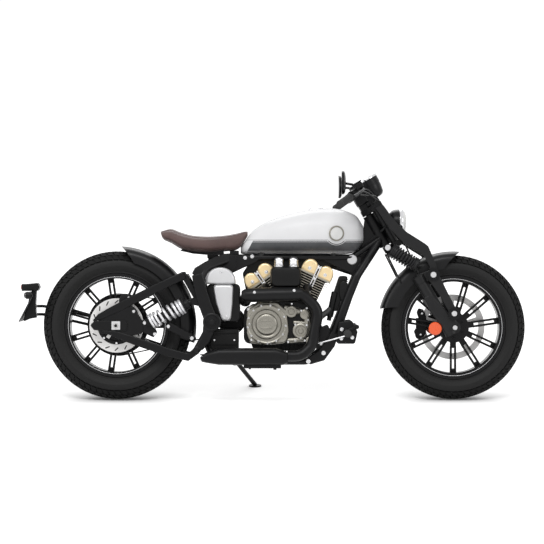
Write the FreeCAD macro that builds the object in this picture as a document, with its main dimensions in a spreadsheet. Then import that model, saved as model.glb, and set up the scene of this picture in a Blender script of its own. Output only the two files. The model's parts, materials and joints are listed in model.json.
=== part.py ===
# A bobber motorcycle: lengths in millimetres, angles in degrees.
# Built upright with the rear axle above x 0, x forward, y to the bike's left and z up
# from the floor, then leaned onto its side stand.
import FreeCAD, Part
import math
import os
import Sketcher

from FreeCAD import Placement, Rotation, Vector

doc = FreeCAD.newDocument("motorcycle")
sheet = doc.addObject("Spreadsheet::Sheet", "sizes")

driving_sizes = [
    # Whole vehicle
    ("wheel_base", 1492), ("lean_angle", 9), ("rake_angle", 30),
    ("middle_x", 689.5), ("middle_y", 138.3),
    ("stem_x", 1118.7), ("stem_z", 818.8),
    ("running_gap", 0.05), ("seat_gap", 0.3), ("moving_gap", 6),
    # Wheels
    ("rim_seat_radius", 216), ("rim_flange_radius", 230), ("rim_flange_width", 5),
    ("front_tyre_radius", 320), ("front_tyre_width", 130), ("front_rim_width", 106),
    ("front_rim_inner_radius", 202),
    ("rear_tyre_radius", 329), ("rear_tyre_width", 150), ("rear_rim_width", 122),
    ("rear_rim_inner_radius", 207),
    ("front_hub_radius", 68), ("front_hub_width", 96), ("rear_hub_radius", 70), ("rear_hub_width", 140),
    ("spoke_pairs", 11), ("spoke_pair_width", 27), ("spoke_slot_width", 13), ("spoke_depth", 22),
    ("spoke_slot_start", 93),
    ("axle_radius", 10), ("front_axle_length", 296), ("rear_axle_length", 290), ("axle_bore_radius", 5),
    ("front_disc_radius", 145), ("front_disc_inner_radius", 117), ("disc_thickness", 5),
    ("disc_arms", 5), ("disc_arm_width", 16),
    ("rear_disc_radius", 120), ("rear_disc_inner_radius", 84), ("disc_gap", 12),
    ("pulley_radius", 135), ("pulley_width", 22), ("belt_thickness", 5), ("belt_width", 20),
    ("front_pulley_radius", 48),
    # Frame
    ("frame_tube_radius", 14), ("head_tube_radius", 30), ("head_tube_length", 155), ("stem_radius", 14),
    ("rail_half_gap", 45), ("cradle_half_gap", 105), ("bottom_rail_z", 170),
    ("pivot_x", 423.2), ("pivot_z", 345.8), ("pivot_plate_y", 152), ("pivot_plate_thickness", 12),
    ("pivot_tube_radius", 20), ("pivot_ring_radius", 34),
    # Swing arm
    ("swing_tube_radius", 11), ("swing_half_gap", 124), ("swing_plate_thickness", 10),
    # Shock
    ("spring_radius", 34), ("shock_body_radius", 22), ("shock_y", 130),
    # Engine
    ("crank_x", 780), ("crank_z", 335), ("front_cylinder_angle", 25), ("rear_cylinder_angle", 35.5),
    ("crankcase_half_width", 96), ("cylinder_base", 118), ("cylinder_top", 232),
    ("fin_depth", 142), ("fin_width", 150), ("fin_thickness", 4.5), ("fin_count", 7), ("fin_start", 148),
    ("barrel_depth", 106), ("barrel_width", 120), ("head_height", 48), ("lobe_rounding", 20),
    ("clutch_x", 663.5), ("clutch_z", 335.1), ("clutch_radius", 65), ("cover_width", 45),
    # Tank
    ("tank_x", 547.8), ("tank_z", 643.9), ("tank_length", 544.2), ("tank_height", 202.5),
    ("tank_half_width", 140), ("cap_radius", 30), ("cap_height", 12),
    # Seat
    ("seat_x", 195.8), ("seat_z", 649.7), ("seat_length", 348), ("seat_height", 106.4),
    ("seat_half_width", 128),
    # Exhaust
    ("pipe_radius", 24), ("port_radius", 17), ("silencer_y", 170), ("silencer_half_width", 46),
    ("silencer_length", 381.7), ("silencer_height", 75), ("silencer_drop", 178), ("pipe_end_x", -25),
    ("pipe_end_run", 60),
    # Fork
    ("beam_y", 125), ("beam_thickness", 14), ("leg_y", 108), ("leg_radius", 27),
    ("link_y", 142), ("link_thickness", 10), ("fork_spring_radius", 29), ("fork_tube_radius", 16),
    ("fork_tube_y", 48), ("yoke_height", 26), ("yoke_depth", 70), ("boss_radius", 24),
    # Fenders
    ("fender_thickness", 3), ("front_fender_gap", 17), ("front_fender_skirt", 75),
    ("front_fender_radius", "=front_tyre_radius + front_fender_gap"),
    ("front_fender_half_width", 77), ("rear_fender_gap", 22), ("rear_fender_skirt", 66),
    ("rear_fender_radius", "=rear_tyre_radius + rear_fender_gap"),
    ("rear_fender_half_width", 84),
    # Handlebar
    ("bar_radius", 11), ("grip_radius", 16), ("grip_length", 125),
    ("headlight_radius", 58), ("headlight_depth", 90), ("mirror_radius", 51), ("mirror_depth", 18),
    ("gauge_radius", 50), ("gauge_height", 34),
    # Side stand
    ("stand_pivot_x", 520), ("stand_pivot_y", 142), ("stand_pivot_z", 170),
    ("stand_reach_x", 90), ("stand_reach_y", 145), ("stand_radius", 10),
    ("stand_fold_x", -205), ("stand_fold_y", 45), ("stand_fold_z", -20),
    ("stand_boss_radius", 14), ("stand_boss_half", 10), ("stand_pin_radius", 7), ("stand_lug_thickness", 12),
    ("foot_radius", 28), ("foot_thickness", 6),
]
for row, (alias, amount) in enumerate(driving_sizes, start=1):
    sheet.set(f"A{row}", alias)
    sheet.set(f"B{row}", str(amount))
    sheet.setAlias(f"B{row}", alias)
doc.recompute()


def number_of(term):
    return term.amount if isinstance(term, Length) else float(term)


def formula_of(term):
    return term.formula if isinstance(term, Length) else f"{float(term):.6f}"


class Length:
    """A number together with the sheet formula that gives it."""

    def __init__(self, amount, formula):
        self.amount = amount
        self.formula = formula

    def __add__(self, other):
        return Length(self.amount + number_of(other), f"({self.formula} + {formula_of(other)})")

    __radd__ = __add__

    def __sub__(self, other):
        return Length(self.amount - number_of(other), f"({self.formula} - {formula_of(other)})")

    def __rsub__(self, other):
        return Length(number_of(other) - self.amount, f"({formula_of(other)} - {self.formula})")

    def __mul__(self, other):
        return Length(self.amount * number_of(other), f"({self.formula} * {formula_of(other)})")

    __rmul__ = __mul__

    def __truediv__(self, other):
        return Length(self.amount / number_of(other), f"({self.formula} / {formula_of(other)})")

    def __neg__(self):
        return Length(-self.amount, f"(0 - {self.formula})")

    def __float__(self):
        return float(self.amount)


class Sizes:
    """Every named size of the sheet, as an attribute."""

    def __getattr__(self, alias):
        return Length(float(sheet.get(alias)), f"sizes.{alias}")


size = Sizes()
zero = Length(0.0, "0")


def root_of(term):
    return Length(math.sqrt(number_of(term)), f"sqrt({formula_of(term)})")


def cosine(angle):
    return Length(math.cos(math.radians(number_of(angle))), f"cos({formula_of(angle)})")


def sine(angle):
    return Length(math.sin(math.radians(number_of(angle))), f"sin({formula_of(angle)})")


def vector(x, y, z):
    return Vector(number_of(x), number_of(y), number_of(z))


def made(kind, title, **bound):
    """A document object whose properties are bound to the sheet."""
    piece = doc.addObject(kind, title)
    for key, term in bound.items():
        setattr(piece, key, number_of(term))
        piece.setExpression(key, formula_of(term))
    return piece


def moved(piece, x=zero, y=zero, z=zero, turn=None):
    """Puts a piece at bound coordinates, turned by an unbound rotation."""
    piece.Placement = Placement(vector(x, y, z), turn or Rotation())
    for letter, term in (("x", x), ("y", y), ("z", z)):
        piece.setExpression(f"Placement.Base.{letter}", formula_of(term))
    return piece


def facing(start, end):
    return Rotation(Vector(0, 0, 1), vector(*end) - vector(*start))


def rod(title, start, end, radius):
    span = vector(*end) - vector(*start)
    legs = [end[axis] - start[axis] for axis in range(3)]
    height = root_of(legs[0] * legs[0] + legs[1] * legs[1] + legs[2] * legs[2])
    piece = made("Part::Cylinder", title, Radius=radius, Height=height)
    return moved(piece, *start, turn=Rotation(Vector(0, 0, 1), span))


def bent_path(title, points, bend):
    """Straight runs joined by tangent arcs."""
    corners = [vector(*point) for point in points]
    edges = []
    last = corners[0]
    for before, corner, after in zip(corners, corners[1:], corners[2:]):
        inward = (before - corner).normalize()
        outward = (after - corner).normalize()
        half_turn = (math.pi - inward.getAngle(outward)) / 2
        reach = number_of(bend) * math.tan(half_turn)
        reach = min(reach, 0.45 * (before - corner).Length, 0.45 * (after - corner).Length)
        radius = reach / math.tan(half_turn)
        bisector = (inward + outward).normalize()
        middle = corner + bisector * (radius / math.cos(half_turn) - radius)
        first = corner + inward * reach
        second = corner + outward * reach
        edges.append(Part.LineSegment(last, first).toShape())
        edges.append(Part.Arc(first, middle, second).toShape())
        last = second
    edges.append(Part.LineSegment(last, corners[-1]).toShape())
    path = doc.addObject("Part::Feature", title)
    path.Shape = Part.Wire(edges)
    return path, len(edges)


def tube(title, points, radius, bend):
    """A round bar swept along straight runs and tangent arcs."""
    if len(points) == 2:
        return rod(title, points[0], points[1], radius)
    path, count = bent_path(title + "_path", points, bend)
    section = made("Part::Circle", title + "_section", Radius=radius)
    moved(section, *points[0], turn=facing(points[0], points[1]))
    sweep = doc.addObject("Part::Sweep", title)
    sweep.Sections = [section]
    sweep.Spine = (path, [f"Edge{number}" for number in range(1, count + 1)])
    sweep.Solid = True
    sweep.Frenet = False
    return sweep


def arc_centre(start, end, radius):
    """The centre of an arc; with a positive radius it bulges to the right of the way to its end."""
    chord = end - start
    side = Vector(chord.y, -chord.x, 0).normalize()
    reach = math.sqrt(max(radius * radius - chord.Length * chord.Length / 4, 0))
    return (start + end) / 2 - side * math.copysign(reach, radius)


def outline(body, role, points, title):
    """A closed sketch of lines and arcs whose every corner is bound to the sheet.

    A point is (across, up) or (across, up, radius), where radius is that of the arc
    that leads to it from the point before.
    """
    plane = next(item for item in body.Origin.OriginFeatures if item.Role == role)
    sketch = body.newObject("Sketcher::SketchObject", title)
    sketch.AttachmentSupport = [(plane, "")]
    sketch.MapMode = "FlatFace"
    flat = [vector(point[0], point[1], 0) for point in points]
    count = len(points)
    starts = []
    for index in range(count):
        following = (index + 1) % count
        bulge = points[following][2] if len(points[following]) > 2 else None
        if bulge is None:
            sketch.addGeometry(Part.LineSegment(flat[index], flat[following]), False)
            starts.append((1, 2))
        else:
            sweep = number_of(bulge)
            centre = arc_centre(flat[index], flat[following], sweep)
            first = math.atan2(flat[index].y - centre.y, flat[index].x - centre.x)
            second = math.atan2(flat[following].y - centre.y, flat[following].x - centre.x)
            circle = Part.Circle(centre, Vector(0, 0, 1), abs(sweep))
            if sweep > 0:
                sketch.addGeometry(Part.ArcOfCircle(circle, first, second), False)
                starts.append((1, 2))
            else:
                sketch.addGeometry(Part.ArcOfCircle(circle, second, first), False)
                starts.append((2, 1))
            held = sketch.addConstraint(Sketcher.Constraint("Radius", index, abs(sweep)))
            signed = bulge if sweep > 0 else -bulge
            sketch.setExpression(f"Constraints[{held}]", formula_of(signed))
    for index in range(count):
        following = (index + 1) % count
        sketch.addConstraint(Sketcher.Constraint("Coincident", index, starts[index][1],
                                                 following, starts[following][0]))
    for index, point in enumerate(points):
        for kind, term in (("DistanceX", point[0]), ("DistanceY", point[1])):
            held = sketch.addConstraint(Sketcher.Constraint(kind, -1, 1, index, starts[index][0],
                                                            number_of(term)))
            sketch.setExpression(f"Constraints[{held}]", formula_of(term))
    return sketch


def padded(body, sketch, title, length):
    pad = body.newObject("PartDesign::Pad", title)
    pad.Profile = sketch
    pad.SideType = "Symmetric"
    pad.Length = number_of(length)
    pad.setExpression("Length", formula_of(length))
    return pad


def slab(title, points, thickness, y=zero, role="XZ_Plane", corner=None):
    """An outline in a plane, given thickness evenly to both sides, centred at y."""
    body = doc.addObject("PartDesign::Body", title)
    sketch = outline(body, role, points, title + "_outline")
    pad = padded(body, sketch, title + "_pad", thickness)
    if corner is not None:
        doc.recompute()
        fillet = body.newObject("PartDesign::Fillet", title + "_rounding")
        upright = [f"Edge{number}" for number, edge in enumerate(pad.Shape.Edges, start=1)
                   if abs(edge.BoundBox.YLength - number_of(thickness)) < 0.001]
        fillet.Base = (pad, upright)
        fillet.Radius = number_of(corner)
        fillet.setExpression("Radius", formula_of(corner))
        body.Tip = fillet
    return moved(body, y=y)


def turned(title, points, angle=360):
    """A profile of (along y, radius) points turned about the y axis."""
    body = doc.addObject("PartDesign::Body", title)
    sketch = outline(body, "YZ_Plane", points, title + "_profile")
    turn = body.newObject("PartDesign::Revolution", title + "_turn")
    turn.Profile = sketch
    turn.ReferenceAxis = (sketch, ["H_Axis"])
    turn.Angle = angle
    return body


def drum(title, y_low, y_high, radius, inner=None):
    """A round disc or ring about the y axis."""
    if inner is None:
        points = [(y_low, zero), (y_high, zero), (y_high, radius), (y_low, radius)]
    else:
        points = [(y_low, inner), (y_high, inner), (y_high, radius), (y_low, radius)]
    return turned(title, points)


def fused(title, *pieces):
    """Pieces joined one after another into one solid."""
    whole = pieces[0]
    for index, piece in enumerate(pieces[1:], start=1):
        step = doc.addObject("Part::Fuse", f"{title}_{index}")
        step.Base = whole
        step.Tool = piece
        step.Refine = True
        whole = step
    return whole


def cut(title, base, tool):
    remainder = doc.addObject("Part::Cut", title)
    remainder.Base = base
    remainder.Tool = tool
    remainder.Refine = True
    return remainder


def group(title, *pieces):
    """Solids that stay apart in one piece."""
    whole = doc.addObject("Part::Compound", title)
    whole.Links = list(pieces)
    return whole


def mirrored(title, piece):
    """The same piece on the other side of the middle plane."""
    other = doc.addObject("Part::Mirroring", title)
    other.Source = piece
    other.Base = Vector(0, 0, 0)
    other.Normal = Vector(0, 1, 0)
    return other


def pair(title, piece):
    return group(title, piece, mirrored(title + "_other", piece))


def box(title, low, high):
    piece = made("Part::Box", title, Length=high[0] - low[0], Width=high[1] - low[1],
                 Height=high[2] - low[2])
    return moved(piece, *low)


# The lean turns the bike about the line where its tyres stand, and lifts it by what
# their round crowns need.
crown_rise_share = 0.55


def crown_radius(width, radius):
    half = width / 2
    rise = (radius - size.rim_seat_radius) * crown_rise_share
    return (half * half + rise * rise) / (rise * 2)


lean = number_of(size.lean_angle)
crown_lift = number_of(crown_radius(size.rear_tyre_width, size.rear_tyre_radius)) * (
    1 - math.cos(math.radians(lean)))
upright = Placement(vector(-size.middle_x, zero, zero), Rotation())
leaned = Placement(Vector(0, -number_of(size.middle_y), crown_lift),
                   Rotation(Vector(1, 0, 0), -lean)).multiply(upright)
steered = Placement(vector(size.stem_x, zero, size.stem_z),
                    Rotation(Vector(0, 1, 0), -number_of(size.rake_angle)))
at_front = Placement(vector(size.wheel_base, zero, size.front_tyre_radius), Rotation())
at_rear = Placement(vector(zero, zero, size.rear_tyre_radius), Rotation())
nodes = []


def node(label, *pieces, at=None):
    """One named sub-part, leaned with the whole bike."""
    whole = group("node_" + label, *pieces)
    whole.Label = label
    whole.Placement = leaned.multiply(at) if at else leaned
    nodes.append(whole)
    return whole


def tyre_profile(width, radius, rim_width):
    half = width / 2
    bead = rim_width / 2 - size.rim_flange_width - size.seat_gap
    rise = (radius - size.rim_seat_radius) * crown_rise_share
    crown = crown_radius(width, radius)
    lip = size.rim_flange_radius + size.seat_gap
    turns = [size.lean_angle, size.lean_angle * 3.4, size.lean_angle * 6]
    side = [(crown * sine(turn), radius - crown + crown * cosine(turn)) for turn in turns]
    return ([(-bead, size.rim_seat_radius), (bead, size.rim_seat_radius), (bead, lip), (half, radius - rise)]
            + side[::-1] + [(-across, up) for across, up in side] + [(-half, radius - rise), (-bead, lip)])


def rim_profile(width, inner):
    half = width / 2
    wall = half - size.rim_flange_width
    seat = size.rim_seat_radius - size.seat_gap
    return [(-half, inner), (half, inner), (half, size.rim_flange_radius), (wall, size.rim_flange_radius),
            (wall, seat), (-wall, seat), (-wall, size.rim_flange_radius), (-half, size.rim_flange_radius)]


def wheel(name, width, inner, hub_radius, hub_width, first_angle):
    """A cast wheel: rim, hub and paired spokes as one solid."""
    rim = turned(name + "_ring", rim_profile(width, inner))
    bore = size.axle_radius + size.running_gap
    hub = drum(name + "_hub", -hub_width / 2, hub_width / 2, hub_radius, bore)
    overlap = size.rim_flange_width
    half = size.spoke_pair_width / 2
    slot = size.spoke_slot_width / 2
    start, end = hub_radius - overlap, inner + overlap
    spoke = slab(name + "_spoke", [(-half, start), (half, start), (half, end), (-half, end)],
                 size.spoke_depth)
    slot_cut = slab(name + "_slot", [(-slot, size.spoke_slot_start), (slot, size.spoke_slot_start),
                                     (slot, inner), (-slot, inner)], size.spoke_depth * 2)
    arm = cut(name + "_arm", spoke, slot_cut)
    count = int(number_of(size.spoke_pairs))
    arms = []
    for index in range(count):
        copy = doc.addObject("Part::Compound", f"{name}_arm_{index}")
        copy.Links = [arm]
        copy.Placement = Placement(Vector(), Rotation(Vector(0, 1, 0), first_angle + 360 * index / count))
        arms.append(copy)
    return fused(name + "_whole", rim, hub, *arms)


def build_wheels():
    node("front_rim", wheel("front", size.front_rim_width, size.front_rim_inner_radius,
                            size.front_hub_radius, size.front_hub_width, 180), at=at_front)
    node("front_tyre", turned("front_tyre_body", tyre_profile(
        size.front_tyre_width, size.front_tyre_radius, size.front_rim_width)), at=at_front)
    node("rear_rim", wheel("rear", size.rear_rim_width, size.rear_rim_inner_radius,
                           size.rear_hub_radius, size.rear_hub_width, 188), at=at_rear)
    node("rear_tyre", turned("rear_tyre_body", tyre_profile(
        size.rear_tyre_width, size.rear_tyre_radius, size.rear_rim_width)), at=at_rear)
    bore = size.axle_radius + size.running_gap
    for name, half_hub, outer, inner, side, place in (
            ("front_disc", size.front_hub_width / 2, size.front_disc_radius,
             size.front_disc_inner_radius, 1, at_front),
            ("rear_disc", size.rear_hub_width / 2, size.rear_disc_radius,
             size.rear_disc_inner_radius, -1, at_rear)):
        near = half_hub
        far = half_hub + size.disc_gap
        back = far - size.disc_thickness
        ring = drum(name + "_ring", back * side, far * side, outer, inner)
        bell = drum(name + "_bell", near * side, far * side, size.front_hub_radius * 0.6, bore)
        count = int(number_of(size.disc_arms))
        half = size.disc_arm_width / 2
        arm = box(name + "_arm", (-half, zero - outer, size.front_hub_radius * 0.4),
                  (half, zero - outer + size.disc_thickness * 0.8, inner + half))
        arms = []
        for index in range(count):
            copy = doc.addObject("Part::Compound", f"{name}_arm_{index}")
            copy.Links = [arm]
            copy.Placement = Placement(
                vector(zero, (back if side > 0 else -far) + outer + size.disc_thickness * 0.1, zero),
                Rotation(Vector(0, 1, 0), 360 * index / count))
            arms.append(copy)
        node(name, fused(name + "_body", ring, bell, *arms), at=place)
    face = size.rear_hub_width / 2
    node("rear_pulley", drum("pulley_body", face, face + size.pulley_width, size.pulley_radius, bore),
         at=at_rear)
    half = size.front_axle_length / 2
    node("front_axle", drum("front_axle_body", -half, half, size.axle_radius, size.axle_bore_radius),
         at=at_front)
    half = size.rear_axle_length / 2
    node("rear_axle", drum("rear_axle_body", -half, half, size.axle_radius, size.axle_bore_radius),
         at=at_rear)


def section_wire(x, half_width, low, high, squareness_share):
    """A closed ring of short runs across the bike, rounder or squarer by its share."""
    middle, half_height = (low + high) / 2, (high - low) / 2
    steps = 24
    points = []
    for step in range(steps):
        turn = 2 * math.pi * (step + 0.5) / steps
        across = math.copysign(abs(math.cos(turn)) ** squareness_share, math.cos(turn))
        up = math.copysign(abs(math.sin(turn)) ** squareness_share, math.sin(turn))
        points.append(Vector(x, half_width * across, middle + half_height * up))
    return Part.makePolygon(points + points[:1])


def hull(title, x, z, length, half_width, height, stations, squareness_share):
    """A smooth body through rings given as shares of its length, half width and height."""
    wires = [section_wire(number_of(x + length * along), number_of(half_width * wide),
                          number_of(z + height * low), number_of(z + height * high), squareness_share)
             for along, wide, low, high in stations]
    body = doc.addObject("Part::Feature", title)
    body.Shape = Part.makeLoft(wires, True, False)
    return body


def fender(title, radius, skirt, half_width, first, sweep):
    """An arched sheet around a wheel, from one angle, counted from straight up, to another."""
    thick = size.fender_thickness
    shoulder = half_width * 0.45
    inner_shoulder = shoulder - thick
    flank = radius - shoulder
    bevel_share = 0.3
    bevel, inner_bevel = shoulder * bevel_share, inner_shoulder * bevel_share
    arch = [(-half_width, radius - skirt), (-half_width + thick, radius - skirt),
            (-half_width + thick, flank), (-half_width + thick + inner_bevel, radius - thick - inner_bevel),
            (-half_width + shoulder, radius - thick), (half_width - shoulder, radius - thick),
            (half_width - thick - inner_bevel, radius - thick - inner_bevel), (half_width - thick, flank),
            (half_width - thick, radius - skirt), (half_width, radius - skirt), (half_width, flank),
            (half_width - bevel, radius - bevel), (half_width - shoulder, radius),
            (-half_width + shoulder, radius), (-half_width + bevel, radius - bevel), (-half_width, flank)]
    body = turned(title, arch, angle=sweep)
    body.Placement = Placement(Vector(), Rotation(Vector(0, 1, 0), first))
    return body


def build_frame():
    bar = size.frame_tube_radius
    rake_sine, rake_cosine = sine(size.rake_angle), cosine(size.rake_angle)
    head_low = (size.stem_x + size.head_tube_length * rake_sine, zero,
                size.stem_z - size.head_tube_length * rake_cosine)
    head_high = (size.stem_x, zero, size.stem_z)
    head = rod("head_tube", head_low, head_high, size.head_tube_radius)
    bore_gap = size.stem_radius + size.running_gap
    head_bore = rod("head_bore", (head_low[0] + rake_sine * bar, zero, head_low[2] - rake_cosine * bar),
                    (head_high[0] - rake_sine * bar, zero, head_high[2] + rake_cosine * bar), bore_gap)
    rail_z = size.tank_z - size.seat_gap - bar
    gap, wide = size.rail_half_gap, size.cradle_half_gap
    plate_y = size.pivot_plate_y
    tubes = []
    for name, side in (("right", -1), ("left", 1)):
        tubes.append(tube(f"{name}_rear_loop", [
            (size.stem_x + 48, gap * 0.4 * side, size.stem_z - 105), (size.stem_x - 75, gap * side, rail_z),
            (size.pivot_x + 85, gap * side, rail_z)], bar, bar * 5))
        tubes.append(tube(f"{name}_spine", [
            (size.pivot_x + 95, gap * side, rail_z - 4), (size.pivot_x - 60, plate_y * side, rail_z - 62),
            (size.pivot_x - 15, plate_y * side, size.pivot_z + 60),
            (size.pivot_x - 28, plate_y * side, size.pivot_z - 45),
            (size.pivot_x - 22, wide * side, size.pivot_z - 108),
            (size.pivot_x + 15, wide * side, size.bottom_rail_z),
            (size.pivot_x + 60, wide * side, size.bottom_rail_z)], bar, bar * 5))
        tubes.append(tube(f"{name}_front_loop", [
            (size.pivot_x + 50, wide * side, size.bottom_rail_z),
            (size.pivot_x + 430, wide * side, size.bottom_rail_z),
            (size.pivot_x + 545, wide * side, size.bottom_rail_z + 110),
            (size.pivot_x + 640, wide * 0.8 * side, size.bottom_rail_z + 380),
            (size.stem_x + 50, gap * 0.4 * side, size.stem_z - 112)], bar, bar * 5))
    gusset_tube = rod("gusset_tube", (size.stem_x - 196, zero, size.stem_z - 218),
                      (size.stem_x - 53, zero, size.stem_z - 267), bar * 0.7)
    plates = []
    for name, side in (("right", -1), ("left", 1)):
        ring = drum(f"{name}_pivot_ring", plate_y * side - bar, plate_y * side + bar,
                    size.pivot_ring_radius)
        plates.append(moved(ring, size.pivot_x, zero, size.pivot_z))
    pivot_shaft = rod("pivot_shaft", (size.pivot_x, -plate_y - bar, size.pivot_z),
                      (size.pivot_x, plate_y + bar, size.pivot_z), size.pivot_tube_radius * 0.6)
    crossings = [rod(f"cross_tube_{index}", (size.pivot_x + ahead, -half_gap, up),
                     (size.pivot_x + ahead, half_gap, up), bar * share)
                 for index, (ahead, half_gap, up, share) in enumerate((
                     (0, plate_y * 0.68, rail_z - 38, 0.7), (60, wide, size.bottom_rail_z, 0.9),
                     (400, wide, size.bottom_rail_z, 0.9)))]
    gusset = slab("head_gusset", [
        (size.stem_x + 30, size.stem_z - 85), (size.stem_x + 66, size.stem_z - 130),
        (size.stem_x, size.stem_z - 158), (size.stem_x - 55, size.stem_z - 262),
        (size.stem_x - 90, size.stem_z - 220), (size.stem_x - 90, rail_z - bar)], gap)
    engine_plates = [slab(f"{name}_engine_plate", [
        (size.crank_x + 108, size.bottom_rail_z + 5), (size.crank_x + 178, size.bottom_rail_z + 110),
        (size.crank_x + 155, size.bottom_rail_z + 160), (size.crank_x + 104, size.bottom_rail_z + 140),
        (size.crank_x + 104, size.bottom_rail_z + 60)], bar * 0.6,
        (size.crankcase_half_width + size.seat_gap + bar * 0.3) * side)
        for name, side in (("right", -1), ("left", 1))]
    shock_bracket = slab("shock_bracket", [
        (size.pivot_x - 90, size.pivot_z + 76), (size.pivot_x - 12, size.pivot_z + 60),
        (size.pivot_x - 14, size.pivot_z + 104), (size.pivot_x - 88, size.pivot_z + 106)], bar * 0.5,
        -(size.shock_y + size.spring_radius * 0.42 + bar * 0.25 + size.seat_gap))
    stand_lug = stand_lug_and_pin(wide)
    for name, side in (("right", -1), ("left", 1)):
        tubes.append(slab(f"{name}_seat_gusset", [
            (size.pivot_x + 10, rail_z - 55), (size.pivot_x + 55, rail_z - 75), (size.pivot_x + 105, rail_z - 45),
            (size.pivot_x + 105, rail_z + 4), (size.pivot_x + 40, rail_z - 2)], bar * 0.5, gap * 1.6 * side))
    loops = fused("frame_loops", head, *tubes)
    crossed = fused("frame_crossed", loops, gusset, gusset_tube, *crossings, *engine_plates)
    whole = cut("frame_bored", fused("frame_whole", crossed, pivot_shaft, *plates, shock_bracket, *stand_lug),
                head_bore)
    node("main_frame", whole)


def build_swing_arm():
    bar = size.swing_tube_radius
    wide = size.swing_half_gap
    axle_z = size.rear_tyre_radius
    pieces = []
    for name, side in (("right", -1), ("left", 1)):
        y = wide * side
        pieces.append(tube(f"{name}_upper_arm", [
            (zero - 15, y, axle_z + 35), (zero + 141, y, axle_z + 136), (zero + 312, y, axle_z + 205),
            (size.pivot_x, y, size.pivot_z)], bar, bar * 4))
        pieces.append(tube(f"{name}_lower_arm", [
            (zero - 15, y, axle_z - 33), (zero + 211, y, axle_z - 97),
            (size.pivot_x - 90, y, size.pivot_z - 85), (size.pivot_x, y, size.pivot_z)], bar, bar * 4))
        pieces.append(slab(f"{name}_axle_plate", [
            (zero - 70, axle_z - 35), (zero + 60, axle_z - 48), (zero + 125, axle_z - 30),
            (zero + 130, axle_z + 20), (zero + 60, axle_z + 90), (zero - 70, axle_z + 30)],
            size.swing_plate_thickness, y))
    tube_end = size.pivot_plate_y - size.frame_tube_radius - size.seat_gap
    pieces.append(rod("swing_pivot_tube", (size.pivot_x, -tube_end, size.pivot_z),
                      (size.pivot_x, tube_end, size.pivot_z), size.pivot_tube_radius))
    pieces.append(rod("swing_brace", (zero + 312, -wide, axle_z + 205), (zero + 312, wide, axle_z + 205),
                      bar))
    bore = rod("swing_axle_bore", (zero, -wide * 2, axle_z), (zero, wide * 2, axle_z),
               size.axle_radius + size.running_gap)
    pivot_bore = rod("swing_pivot_bore", (size.pivot_x, -wide * 2, size.pivot_z),
                     (size.pivot_x, wide * 2, size.pivot_z), size.pivot_tube_radius * 0.6 + size.running_gap)
    node("swing_arm", cut("swing_arm_bored", fused("swing_arm_whole", *pieces), group("swing_bores", bore, pivot_bore)))


def build_shock():
    y = -size.shock_y
    start = (zero + 145, y, size.rear_tyre_radius + 13)
    end = (zero + 318, y, size.rear_tyre_radius + 97)
    spring_start = (zero + 150, y, size.rear_tyre_radius + 16)
    spring_end = (zero + 300, y, size.rear_tyre_radius + 89)
    spring = rod("shock_spring", spring_start, spring_end, size.spring_radius)
    body = rod("shock_body", start, end, size.shock_body_radius)
    eye_y = -(size.shock_y + size.spring_radius * 0.42)
    eye_z = size.rear_tyre_radius + 109
    eye = rod("shock_eye", (zero + 342, eye_y, eye_z), (zero + 342, -size.shock_y - 4, eye_z),
              size.frame_tube_radius)
    neck = rod("shock_neck", end, (zero + 342, y, eye_z), size.frame_tube_radius * 0.7)
    node("rear_shock", fused("shock_whole", spring, body, neck, eye))


def cylinder_bank(name):
    """One finned barrel and its head, standing along z from the crank."""
    barrel = box(f"{name}_barrel", (-size.barrel_depth / 2, -size.barrel_width / 2, size.cylinder_base),
                 (size.barrel_depth / 2, size.barrel_width / 2, size.cylinder_top))
    count = int(number_of(size.fin_count))
    pitch = (size.cylinder_top - size.fin_start) / size.fin_count
    fins = [box(f"{name}_fin_{index}",
                (-size.fin_depth / 2, -size.fin_width / 2, size.fin_start + pitch * index),
                (size.fin_depth / 2, size.fin_width / 2,
                 size.fin_start + pitch * index + size.fin_thickness)) for index in range(count)]
    low = size.cylinder_top
    half = size.fin_depth / 2
    top = low + size.head_height
    gap = size.fin_thickness / 2
    lobes = [slab(f"{name}_lobe_{index}", [
        (start, low), (end, low), (end, top), (start, top)], size.fin_width * 0.9, corner=size.lobe_rounding)
        for index, (start, end) in enumerate(((-half, -gap), (gap, half)))]
    deck = box(f"{name}_deck", (-half * 0.9, -size.fin_width * 0.42, low),
               (half * 0.9, size.fin_width * 0.42, low + size.head_height * 0.5))
    return fused(f"{name}_bank", barrel, *fins), fused(f"{name}_head", deck, *lobes)


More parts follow.
